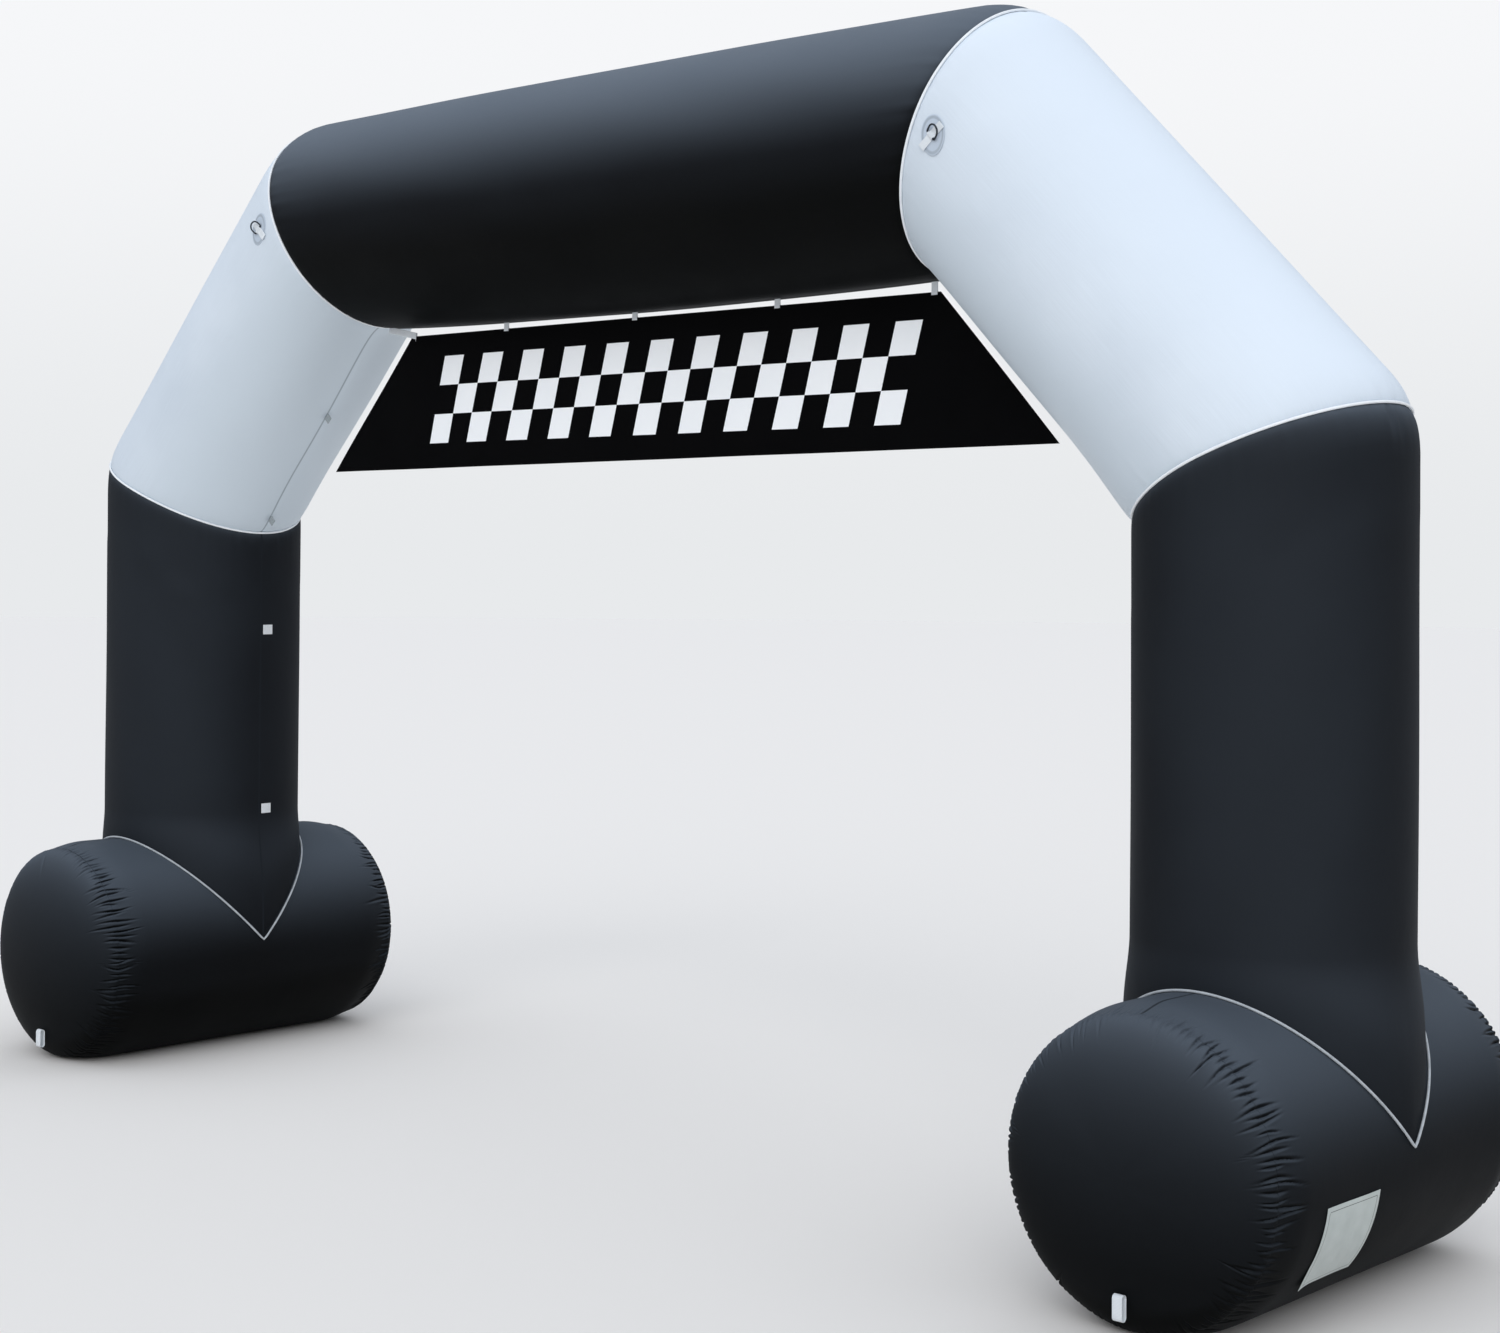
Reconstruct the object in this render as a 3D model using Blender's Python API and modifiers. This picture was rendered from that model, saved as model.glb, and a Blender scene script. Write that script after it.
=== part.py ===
"""Inflatable race arch: two legs, two sloping shoulders and a beam of sewn tubes, on two foot tubes.

Metres, +Z up. X runs across the arch, Y from front (-Y) to back. The floor is z = 0 under its middle.
"""

from math import asin, cos, exp, pi, radians, sin, sqrt

import bmesh
import bpy
from mathutils import Matrix, Vector

# Driving dimensions of the arch
HALF_SPAN = 2.09  # from the middle to a leg's axis
BEAM_HALF = 1.28  # from the middle to the corner where beam and shoulder axes meet
SHOULDER_Z = 1.885  # height of the corner where leg and shoulder axes meet
BEAM_Z = 2.712  # height of the beam's axis
LEG_R = 0.324
SHOULDER_R = 0.330
BEAM_R = 0.338
LOW_JOINT_R = 0.326  # tube radius at the leg's upper seam
HIGH_JOINT_R = 0.333  # tube radius at the beam's seams

# Sewn joints between tubes
GAP = 0.0004  # between neighbouring pieces
SEAM_TUCK = 0.006  # how far a seam is drawn in
SEAM_FADE = 0.012  # how fast the cloth swells again beside it
CORNER_ROUND = 0.26  # radius of the outer corner of a bend
SEAM_STEPS = (0.0, 0.012, 0.045, 0.105)  # rings beside a seam, by distance from it
PIPING_R = 0.0035
PIPING_LIFT = 0.0007  # under a bead, to the skin of the seam
PIPING_SHIFT = 0.0020  # from a saddle's bead to its leg
TUBE_SIDES = 40

# Foot tubes
FOOT_R = 0.356
FOOT_Z = 0.344  # axis height: the underside is pressed flat on the floor
FOOT_SEAM_Y = 0.545  # from the middle to an end cap's seam
FOOT_SEAM_R = 0.338
FOOT_NECK = 0.105  # length over which the tube draws in to the seam
CAP_DEPTH = 0.095
FOOT_SIDES = 64
PUCKERS = 64  # gathers round an end seam
PUCKER_DEPTH = 0.0055
PUCKER_REACH = 0.065
# Rings of a cap, by share of its depth, and of a foot tube, by distance from its seam, with their sides
CAP_STEPS = ((0.0, 128), (0.20, 128), (0.44, 64), (0.68, 64), (0.86, 32), (0.96, 16))
FOOT_STEPS = ((0.0, 128), (0.035, 128), (0.068, 64), (FOOT_NECK, 64))

# Saddle, where a leg is sewn to its foot
SADDLE_HALF_Y = 0.326
SADDLE_TIP = 0.028  # the V's tip above the foot's axis
FLARE_TOP = 0.88  # height at which the leg starts to widen
FLARE_STEPS = (0.0, 0.3, 0.55, 0.78, 0.92, 1.0)
LEG_MIDDLE_Z = 1.25
FLARE_PILLOW = 0.010
SADDLE_SINK = 0.010  # how far the uncut leg reaches into the foot

# Banner and its ties
BANNER_TOP_Z = 2.342
BANNER_BOTTOM_Z = 1.940
BANNER_TOP_HALF = 1.068
BANNER_BOTTOM_HALF = 1.462
BANNER_THICK = 0.0012
TIE_PLACES = (-1.045, -0.55, 0.0, 0.55, 1.045)  # along the beam
TIE_WIDTH = 0.028
TIE_GRIP = 0.016  # how far a tie reaches down over the banner
TIE_WALL = 0.0016
TAB_SIZE = 0.024
TAB_THICK = 0.003
TAB_NECK = 0.8  # share of a tab's length below its cut corners
TAB_TIP = 0.7  # share of its width left at the end
TAB_HEIGHTS = (2.092, 1.775)  # on each shoulder's inner seam

# Guy ring patches on the shoulders
PATCH_R = 0.042
PATCH_THICK = 0.0012
PATCH_LIFT = 0.0006  # between a patch and the skin under it
PATCH_ALONG = 0.080  # from the beam seam
PATCH_UP = 0.022  # above the shoulder's middle line
STRAP_WIDTH = 0.022
STRAP_LENGTH = 0.074
STRAP_THICK = 0.0014
STRAP_FLOOR = 0.0006  # cloth under the ring's straight side
STRAP_TURN = radians(42)
RING_WIRE_R = 0.002
RING_BAR = 0.032  # straight side, between wire centres
RING_REACH = 0.026  # from the straight side to the top of its bow
RING_TILT = radians(22)
RING_SHOULDER = 0.2  # how far the corner between bar and bow is cut, as a share of half the bar

# Webbing anchor loops at the feet
LOOP_WIDTH = 0.025
LOOP_HEIGHT = 0.058
LOOP_DEPTH = 0.018
LOOP_THICK = 0.0022
LOOP_RING = 3  # the cap ring, of CAP_STEPS, that a loop hangs from

# Hook-and-loop squares on the legs' inner side, and the blank patch on a foot
SQUARE_WIDTH = 0.040
SQUARE_HEIGHT = 0.032
SQUARE_THICK = 0.0015
SQUARE_HEIGHTS = (1.40, 0.80)
LABEL_Y = -0.262
LABEL_LENGTH = 0.225
LABEL_TOP = -7.0  # degrees round the foot, from its side
LABEL_BOTTOM = -39.0
LABEL_THICK = 0.0012

BLACK = (0.012, 0.013, 0.016, 1.0)
WHITE = (0.72, 0.77, 0.83, 1.0)
SEAM_WHITE = (0.85, 0.86, 0.88, 1.0)
STEEL = (0.55, 0.56, 0.58, 1.0)

ACROSS = Vector((0.0, 1.0, 0.0))


def clear_scene():
    for thing in list(bpy.data.objects):
        bpy.data.objects.remove(thing, do_unlink=True)


def new_collection(name):
    collection = bpy.data.collections.new(name)
    bpy.context.scene.collection.children.link(collection)
    return collection


clear_scene()
PARTS = new_collection("inflatable_arch")
CUTTERS = new_collection("cutters")


def finish(thing, color, roughness, metallic=0.0):
    """Give an object its own plain material."""
    material = bpy.data.materials.new(thing.name)
    material.use_nodes = True
    shader = material.node_tree.nodes["Principled BSDF"]
    shader.inputs["Base Color"].default_value = color
    shader.inputs["Roughness"].default_value = roughness
    shader.inputs["Metallic"].default_value = metallic
    thing.data.materials.append(material)
    return thing


def add_mesh(name, bm, collection=None):
    bmesh.ops.recalc_face_normals(bm, faces=bm.faces)
    mesh = bpy.data.meshes.new(name)
    bm.to_mesh(mesh)
    bm.free()
    mesh.shade_smooth()
    mesh.set_sharp_from_angle(angle=radians(35))
    thing = bpy.data.objects.new(name, mesh)
    (collection or PARTS).objects.link(thing)
    return thing


def loft(name, rings, end_point=None):
    """A closed solid through rings of points, each of the last ring's count, half of it or double it.

    The first ring is closed by one flat face, and the last by a flat face or a fan to end_point.
    """
    bm = bmesh.new()
    loops = [[bm.verts.new(point) for point in ring] for ring in rings]
    for near, far in zip(loops, loops[1:]):
        if len(near) < len(far):
            near, far = far, near
        step = len(near) // len(far)
        for i in range(len(far)):
            following = far[(i + 1) % len(far)]
            if step == 1:
                bm.faces.new((near[i], near[(i + 1) % len(near)], following, far[i]))
                continue
            first, middle, last = (near[(2 * i + k) % len(near)] for k in range(3))
            bm.faces.new((first, middle, far[i]))
            bm.faces.new((middle, last, following, far[i]))
    bm.faces.new(loops[0])
    if end_point is None:
        bm.faces.new(loops[-1])
    else:
        pole = bm.verts.new(end_point)
        for i, vert in enumerate(loops[-1]):
            bm.faces.new((vert, loops[-1][(i + 1) % len(loops[-1])], pole))
    return add_mesh(name, bm)


def round_steps(count):
    return [2 * pi * i / count for i in range(count)]


class Tube:
    """A straight tube between two mitred seams. Its angle 0 is the outer spine, pi the inner one."""

    def __init__(self, start, end, outward, before, after, start_r, middle_r, end_r):
        self.start, self.end = Vector(start), Vector(end)
        self.axis = (self.end - self.start).normalized()
        self.outward = Vector(outward).normalized()
        self.start_r, self.middle_r, self.end_r = start_r, middle_r, end_r
        self.length = (self.end - self.start).length
        self.start_cut = (self.axis + Vector(before)).normalized() if before else self.axis
        self.end_cut = (self.axis + Vector(after)).normalized() if after else self.axis

    def radius(self, share, from_seam):
        swell = self.middle_r - (self.start_r + self.end_r) / 2
        straight = self.start_r + (self.end_r - self.start_r) * share
        return straight + swell * sin(pi * share) ** 0.5 - SEAM_TUCK * exp(-from_seam / SEAM_FADE)

    def reach(self, spoke, radius, cut, end):
        """How far past the joint's centre the skin line at this spoke runs before the mitre cuts it."""
        shift = -radius * spoke.dot(cut) / self.axis.dot(cut)
        return shift + (self.length - GAP / 2 if end else GAP / 2)

    def point(self, angle, share=None, from_start=None, from_end=None, lift=0.0):
        spoke = self.outward * cos(angle) + ACROSS * sin(angle)
        low = self.reach(spoke, self.start_r - SEAM_TUCK + lift, self.start_cut, False)
        high = self.reach(spoke, self.end_r - SEAM_TUCK + lift, self.end_cut, True)
        if from_start is not None:
            share = from_start / (high - low)
        if from_end is not None:
            share = 1 - from_end / (high - low)
        near, far = share * (high - low), (1 - share) * (high - low)
        radius = self.radius(share, min(near, far)) + lift
        place = self.start + self.axis * (low + near) + spoke * radius
        for distance, cut in ((near, self.start_cut), (far, self.end_cut)):
            place -= self.corner(cut, distance, angle)
        return place

    def corner(self, cut, distance, angle):
        """The draw-in that rounds a bend's outer side, largest at the seam."""
        bend = abs(self.outward.dot(cut))
        reach = CORNER_ROUND * bend / sqrt(1 - bend * bend)
        if bend < 0.01 or distance >= reach or cos(angle) <= 0:
            return Vector()
        in_plane = (self.outward - cut * self.outward.dot(cut)).normalized()
        return in_plane * cos(angle) * (reach - distance) ** 2 / (2 * CORNER_ROUND)

    def ring(self, **where):
        return [self.point(angle, **where) for angle in round_steps(TUBE_SIDES)]


def both_sides():
    return (("left", -1), ("right", 1))


def axes(side):
    """Directions along the leg, shoulder and beam on one side, running up and inwards."""
    up = Vector((0, 0, 1))
    slope = Vector((side * (BEAM_HALF - HALF_SPAN), 0, BEAM_Z - SHOULDER_Z)).normalized()
    return up, slope, Vector((-side, 0, 0))


def shoulder_tube(side):
    up, slope, inwards = axes(side)
    return Tube(
        (side * HALF_SPAN, 0, SHOULDER_Z),
        (side * BEAM_HALF, 0, BEAM_Z),
        (side * slope.z, 0, -side * slope.x),
        up,
        inwards,
        LOW_JOINT_R,
        SHOULDER_R,
        HIGH_JOINT_R,
    )


def leg_tube(side):
    up, slope, _ = axes(side)
    foot = (side * HALF_SPAN, 0, 0)
    top = (side * HALF_SPAN, 0, SHOULDER_Z)
    return Tube(foot, top, (side, 0, 0), None, slope, LEG_R, LEG_R, LOW_JOINT_R)


def beam_tube():
    left, right = axes(-1)[1], axes(1)[1]
    ends = ((-BEAM_HALF, 0, BEAM_Z), (BEAM_HALF, 0, BEAM_Z))
    return Tube(*ends, (0, 0, 1), left, -right, HIGH_JOINT_R, BEAM_R, HIGH_JOINT_R)


def saddle_point(side, angle):
    """A point of the leg's seam on the foot: a V on each side, level with the foot's top at the ends."""
    y = SADDLE_HALF_Y * sin(angle)
    rise = SADDLE_TIP + abs(sin(angle)) * (FOOT_R - SADDLE_TIP)
    x = sqrt(max(FOOT_R**2 - rise**2, 0.0)) * (1 if cos(angle) > 0 else -1)
    return Vector((side * (HALF_SPAN + x), y, FOOT_Z + rise))


def make_foot_cutter(name, side):
    """A foot's round body with the gap added, to shape a leg's underside."""
    bm = bmesh.new()
    grown = FOOT_R + GAP / cos(pi / FOOT_SIDES)
    turn = Matrix.Rotation(pi / 2, 4, "X")
    bmesh.ops.create_cone(
        bm, cap_ends=True, segments=FOOT_SIDES, radius1=grown, radius2=grown, depth=1.0, matrix=turn
    )
    cutter = add_mesh(name + "_cutter", bm, CUTTERS)
    cutter.location = (side * HALF_SPAN, 0, FOOT_Z)
    cutter.hide_render = True
    cutter.display_type = "WIRE"
    return cutter


def flare_point(side, angle, share):
    """A point of a leg's widening foot end: share runs from its top, 0, down to the seam, 1."""
    high = Vector((side * (HALF_SPAN + LEG_R * cos(angle)), LEG_R * sin(angle), FLARE_TOP))
    low = saddle_point(side, angle)
    ease = share * share * (3 - 2 * share)
    point = high.lerp(low, ease)
    point.z = high.z + (low.z - high.z) * share
    point.x += side * FLARE_PILLOW * cos(angle) ** 3 * sin(pi * ease)
    return point


def leg_point(side, angle, height):
    """A point of a leg's skin at a height above the saddle and below the upper seam."""
    share = (FLARE_TOP - height) / (FLARE_TOP - saddle_point(side, angle).z)
    for near, far in zip(FLARE_STEPS, FLARE_STEPS[1:]):
        if near <= share <= far:
            high, low = flare_point(side, angle, near), flare_point(side, angle, far)
            return high.lerp(low, (share - near) / (far - near))
    return Vector((side * (HALF_SPAN + LEG_R * cos(angle)), LEG_R * sin(angle), height))


def make_leg(name, side):
    tube = leg_tube(side)
    steps = round_steps(TUBE_SIDES)
    rings = [tube.ring(from_end=step) for step in SEAM_STEPS]
    rings.append([leg_point(side, angle, LEG_MIDDLE_Z) for angle in steps])
    rings += [[flare_point(side, angle, share) for angle in steps] for share in FLARE_STEPS]
    centre = Vector((side * HALF_SPAN, 0, FOOT_Z))
    rings.append([p + (centre - p) * (SADDLE_SINK / FOOT_R) for p in rings[-1]])
    leg = loft(name, rings, end_point=centre)
    cut = leg.modifiers.new("seat_on_foot", "BOOLEAN")
    cut.operation = "DIFFERENCE"
    cut.solver = "EXACT"
    cut.object = make_foot_cutter(name, side)
    return finish(leg, BLACK, 0.45)


def make_tube(name, tube, color):
    rings = [tube.ring(from_start=step) for step in SEAM_STEPS]
    rings += [tube.ring(share=0.5)]
    rings += [tube.ring(from_end=step) for step in reversed(SEAM_STEPS)]
    return finish(loft(name, rings), color, 0.45)


def pucker(step, sides, from_seam):
    """Height of the gathers beside an end seam: uneven folds that die out along the cloth."""
    if sides < 2 * PUCKERS:
        return 0.0
    fold = step // 2
    strength = 0.65 + 0.35 * sin(2.4 * fold) * cos(1.1 * fold + 0.5)
    fade = max(0.0, 1 - from_seam / PUCKER_REACH)
    return (PUCKER_DEPTH if step % 2 else -PUCKER_DEPTH) * strength * fade


def foot_ring(side, y, radius, sides, from_seam=1.0):
    """A ring round a foot, pressed flat where it would dip below the floor."""
    ring = []
    for step, angle in enumerate(round_steps(sides)):
        r = radius + pucker(step, sides, from_seam)
        ring.append((side * HALF_SPAN + r * cos(angle), y, max(FOOT_Z + r * sin(angle), 0.0)))
    return ring


def neck_radius(from_seam):
    share = min(from_seam / FOOT_NECK, 1.0)
    return FOOT_SEAM_R + (FOOT_R - FOOT_SEAM_R) * sin(share * pi / 2) ** 1.3


def make_foot(name, side):
    rings = []
    for end in (-1, 1):
        half = []
        for from_seam, sides in FOOT_STEPS:
            y = end * (FOOT_SEAM_Y - GAP / 2 - from_seam)
            half.append(foot_ring(side, y, neck_radius(from_seam), sides, from_seam))
        rings += half if end < 0 else reversed(half)
    return finish(loft(name, rings), BLACK, 0.45)


def make_cap(name, side, end):
    rings = []
    for depth, sides in CAP_STEPS:
        y = end * (FOOT_SEAM_Y + GAP / 2 + depth * CAP_DEPTH)
        radius = FOOT_SEAM_R * sqrt(1 - depth * depth)
        rings.append(foot_ring(side, y, radius, sides, depth * CAP_DEPTH))
    tip = (side * HALF_SPAN, end * (FOOT_SEAM_Y + CAP_DEPTH), FOOT_Z)
    return finish(loft(name, rings, end_point=tip), BLACK, 0.45)


def make_cord(name, points, radius, sides_level, closed, color, roughness=0.5, metallic=0.0):
    """A round cord or wire through the points."""
    curve = bpy.data.curves.new(name, "CURVE")
    curve.dimensions = "3D"
    curve.bevel_depth = radius
    curve.bevel_resolution = sides_level
    curve.use_fill_caps = True
    spline = curve.splines.new("POLY")
    spline.points.add(len(points) - 1)
    for target, point in zip(spline.points, points):
        target.co = (*point, 1.0)
    spline.use_cyclic_u = closed
    cord = bpy.data.objects.new(name, curve)
    PARTS.objects.link(cord)
    return finish(cord, color, roughness, metallic)


def make_elbow_piping(name, tube, at_start):
    """The bead sewn into a mitred seam, lying in the groove between the two tubes."""
    lift = PIPING_R + PIPING_LIFT
    where = {"from_start": 0.0} if at_start else {"from_end": 0.0}
    shift = tube.axis * (-GAP / 2 if at_start else GAP / 2)
    points = [tube.point(angle, lift=lift, **where) + shift for angle in round_steps(TUBE_SIDES)]
    return make_cord(name, points, PIPING_R, 0, True, SEAM_WHITE)


def make_saddle_piping(name, side):
    """The bead along the seam between leg and foot."""
    points = []
    steps = round_steps(2 * TUBE_SIDES)
    for i, angle in enumerate(steps):
        here = saddle_point(side, angle)
        along = saddle_point(side, steps[(i + 1) % len(steps)]) - saddle_point(side, steps[i - 1])
        normal = Vector((here.x - side * HALF_SPAN, 0, here.z - FOOT_Z)).normalized()
        away = normal.cross(along).normalized()
        if away.dot(Vector((0, here.y, here.z - FOOT_Z - FOOT_R))) < 0:
            away.negate()
        points.append(here + normal * (PIPING_R + PIPING_LIFT) + away * (PIPING_R + PIPING_SHIFT))
    return make_cord(name, points[::2], PIPING_R, 0, True, SEAM_WHITE)


def flat_outline(name, outlines, thickness, matrix):
    """A plate of the given thickness from closed outlines in its XY plane; inner outlines are holes."""
    curve = bpy.data.curves.new(name, "CURVE")
    curve.dimensions = "2D"
    curve.fill_mode = "BOTH"
    curve.extrude = thickness / 2
    for outline in outlines:
        spline = curve.splines.new("POLY")
        spline.points.add(len(outline) - 1)
        for target, (x, y) in zip(spline.points, outline):
            target.co = (x, y, 0.0, 1.0)
        spline.use_cyclic_u = True
    plate = bpy.data.objects.new(name, curve)
    plate.matrix_world = matrix
    PARTS.objects.link(plate)
    return plate


def frame_of(x_axis, y_axis, place):
    """A matrix whose X and Y lie along the given directions, at the given place."""
    x_axis, y_axis = Vector(x_axis).normalized(), Vector(y_axis).normalized()
    turn = Matrix((x_axis, y_axis, x_axis.cross(y_axis))).transposed().to_4x4()
    return Matrix.Translation(place) @ turn


def make_banner():
    outline = [
        (-BANNER_BOTTOM_HALF, BANNER_BOTTOM_Z),
        (BANNER_BOTTOM_HALF, BANNER_BOTTOM_Z),
        (BANNER_TOP_HALF, BANNER_TOP_Z),
        (-BANNER_TOP_HALF, BANNER_TOP_Z),
    ]
    place = frame_of((1, 0, 0), (0, 0, 1), (0, 0, 0))
    return finish(flat_outline("banner", [outline], BANNER_THICK, place), BLACK, 0.7)


def make_tie(name, x):
    """A webbing tie under the beam: a fold that grips the banner's top edge."""
    half = TIE_WIDTH / 2
    top = min(beam_underside(x - half), beam_underside(x + half)) - GAP
    inner = BANNER_THICK / 2 + GAP
    outer = inner + TIE_WALL
    slot = BANNER_TOP_Z + GAP
    foot = BANNER_TOP_Z - TIE_GRIP
    outline = [
        (-outer, foot), (-inner, foot), (-inner, slot), (inner, slot),
        (inner, foot), (outer, foot), (outer, top), (-outer, top),
    ]
    tie = flat_outline(name, [outline], TIE_WIDTH, frame_of((0, 1, 0), (0, 0, 1), (x, 0, 0)))
    return finish(tie, SEAM_WHITE, 0.7)


def beam_underside(x):
    """Height of the beam's lowest line at a place along it."""
    beam = beam_tube()
    line = [beam.point(pi, from_start=step) for step in SEAM_STEPS]
    line.append(beam.point(pi, share=0.5))
    line += [beam.point(pi, from_end=step) for step in reversed(SEAM_STEPS)]
    for near, far in zip(line, line[1:]):
        if near.x <= x <= far.x:
            return near.lerp(far, (x - near.x) / (far.x - near.x)).z
    raise ValueError("a tie lies past the beam's underside")


def make_seam_tab(name, side, height):
    """A short folded tab in a shoulder's inner seam."""
    tube = shoulder_tube(side)
    low, high = tube.point(pi, share=0.0), tube.point(pi, share=1.0)
    foot = tube.point(pi, share=(height - low.z) / (high.z - low.z), lift=GAP)
    half = TAB_SIZE / 2
    neck = TAB_SIZE * TAB_NECK
    tip = half * TAB_TIP
    outline = [(-half, 0), (half, 0), (half, neck), (tip, TAB_SIZE), (-tip, TAB_SIZE), (-half, neck)]
    tab = flat_outline(name, [outline], TAB_THICK, frame_of(tube.axis, -tube.outward, foot))
    return finish(tab, SEAM_WHITE, 0.7)


def lay_on(name, bm, place, inside, thickness):
    """Lay a flat mesh on a curved skin, by the place each point takes, and thicken it outwards."""
    for vert in bm.verts:
        vert.co = place(vert.co.x, vert.co.y)
    bmesh.ops.recalc_face_normals(bm, faces=bm.faces)
    face = bm.faces[:][0]
    if face.normal.dot(face.calc_center_median() - Vector(inside)) < 0:
        bmesh.ops.reverse_faces(bm, faces=bm.faces)
    mesh = bpy.data.meshes.new(name)
    bm.to_mesh(mesh)
    bm.free()
    thing = bpy.data.objects.new(name, mesh)
    PARTS.objects.link(thing)
    wall = thing.modifiers.new("cloth", "SOLIDIFY")
    wall.thickness = thickness
    wall.offset = 1.0
    return thing


def sheet_grid(width, height, columns, rows):
    """A flat sheet of quads about the origin."""
    bm = bmesh.new()
    size = Matrix.Diagonal((width, height, 1.0, 1.0))
    bmesh.ops.create_grid(bm, x_segments=columns, y_segments=rows, size=0.5, matrix=size)
    return bm


def patch_frame(side, face):
    """The place of a guy ring's strap on its shoulder patch, in front (-1) or behind (1)."""
    tube = shoulder_tube(side)
    angle = face * (pi / 2 - PATCH_UP / SHOULDER_R)
    lift = PATCH_LIFT + PATCH_THICK + GAP
    middle = tube.point(angle, from_end=PATCH_ALONG, lift=lift)
    out = (middle - tube.point(angle, from_end=PATCH_ALONG)).normalized()
    level = Vector((side, 0, 0))
    level = (level - out * level.dot(out)).normalized()
    rise = out.cross(level) * (1 if out.cross(level).z > 0 else -1)
    run = (level * cos(STRAP_TURN) + rise * sin(STRAP_TURN)).normalized()
    return middle, run, out


def make_ring_patch(name, side, face):
    """A round reinforcement patch on a shoulder."""
    tube = shoulder_tube(side)
    bm = bmesh.new()
    bmesh.ops.create_circle(bm, cap_ends=True, cap_tris=True, segments=12, radius=PATCH_R)
    bmesh.ops.subdivide_edges(bm, edges=bm.edges, cuts=1, use_grid_fill=True)
    middle = face * (pi / 2 - PATCH_UP / SHOULDER_R)

    def place(x, y):
        return tube.point(middle + y / SHOULDER_R, from_end=PATCH_ALONG + x, lift=PATCH_LIFT)

    inside = tube.start.lerp(tube.end, 0.9)
    patch = lay_on(name, bm, place, inside, PATCH_THICK)
    return finish(patch, WHITE, 0.5)


def make_ring_strap(name, side, face):
    """The strap sewn across a patch, with a fold over the ring's straight side."""
    middle, run, out = patch_frame(side, face)
    half = STRAP_LENGTH / 2
    inner = RING_WIRE_R + GAP
    outer = inner + STRAP_THICK
    centre = STRAP_FLOOR + inner
    low = asin((STRAP_THICK - centre) / outer)
    fold = [low + (pi - 2 * low) * i / 8 for i in range(9)]
    outline = [(-half, 0), (half, 0), (half, STRAP_THICK)]
    outline += [(outer * cos(a), centre + outer * sin(a)) for a in fold]
    outline += [(-half, STRAP_THICK)]
    hole = [(inner * cos(a), centre + inner * sin(a)) for a in round_steps(10)]
    strap = flat_outline(name, [outline, hole], STRAP_WIDTH, frame_of(run, out, middle))
    return finish(strap, SEAM_WHITE, 0.7)


def make_guy_ring(name, side, face):
    """A D-shaped wire ring, its straight side under the strap's fold, its bow standing off the patch."""
    middle, run, out = patch_frame(side, face)
    across = out.cross(run)
    half = RING_BAR / 2
    cut = RING_SHOULDER * half
    turns = [pi * i / 8 for i in range(9)]
    bow = [(RING_REACH - half + half * sin(a), half * cos(a)) for a in turns]
    outline = [(0.0, half - cut), (cut, half), *bow, (cut, -half), (0.0, cut - half)]
    stand = middle + out * (STRAP_FLOOR + RING_WIRE_R + GAP)
    tilted = run * cos(RING_TILT) + out * sin(RING_TILT)
    points = [stand + tilted * u + across * v for u, v in outline]
    return make_cord(name, points, RING_WIRE_R, 1, True, STEEL, 0.25, 1.0)


def make_anchor_loop(name, side, end):
    """A webbing loop hanging from a cap's lower edge."""
    depth, _ = CAP_STEPS[LOOP_RING]
    drop = FOOT_SEAM_R * sqrt(1 - depth * depth)
    slope = Vector((0, end * depth / CAP_DEPTH, -drop / FOOT_SEAM_R**2)).normalized()
    touch = Vector((side * HALF_SPAN, end * (FOOT_SEAM_Y + depth * CAP_DEPTH), FOOT_Z - drop))
    half = LOOP_DEPTH / 2
    high = touch + slope * (half + GAP)
    straight = LOOP_HEIGHT - LOOP_DEPTH
    outlines = []
    for radius in (half, half - LOOP_THICK):
        ends = [pi * i / 6 for i in range(7)]
        outline = [(radius * cos(a), radius * sin(a)) for a in ends]
        outline += [(-radius * cos(a), -straight - radius * sin(a)) for a in ends]
        outlines.append(outline)
    loop = flat_outline(name, outlines, LOOP_WIDTH, frame_of((0, 1, 0), (0, 0, 1), high))
    return finish(loop, SEAM_WHITE, 0.7)


def make_square(name, side, height):
    """A hook-and-loop square on a leg's inner side."""
    bm = sheet_grid(SQUARE_WIDTH, SQUARE_HEIGHT, 2, 1)

    def place(x, y):
        point = leg_point(side, pi + x / LEG_R, height + y)
        return point - Vector((side * PATCH_LIFT, 0, 0))

    square = lay_on(name, bm, place, (side * HALF_SPAN, 0, height), SQUARE_THICK)
    return finish(square, SEAM_WHITE, 0.8)


def make_label(name):
    """A blank cloth patch low on the right foot's outer side."""
    bm = sheet_grid(LABEL_LENGTH, 1.0, 1, 8)

    def place(x, y):
        angle = radians((LABEL_TOP + LABEL_BOTTOM) / 2 + y * (LABEL_TOP - LABEL_BOTTOM))
        radius = FOOT_R + PATCH_LIFT
        return Vector((HALF_SPAN + radius * cos(angle), LABEL_Y + x, FOOT_Z + radius * sin(angle)))

    label = lay_on(name, bm, place, (HALF_SPAN, LABEL_Y, FOOT_Z), LABEL_THICK)
    return finish(label, SEAM_WHITE, 0.6)


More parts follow.
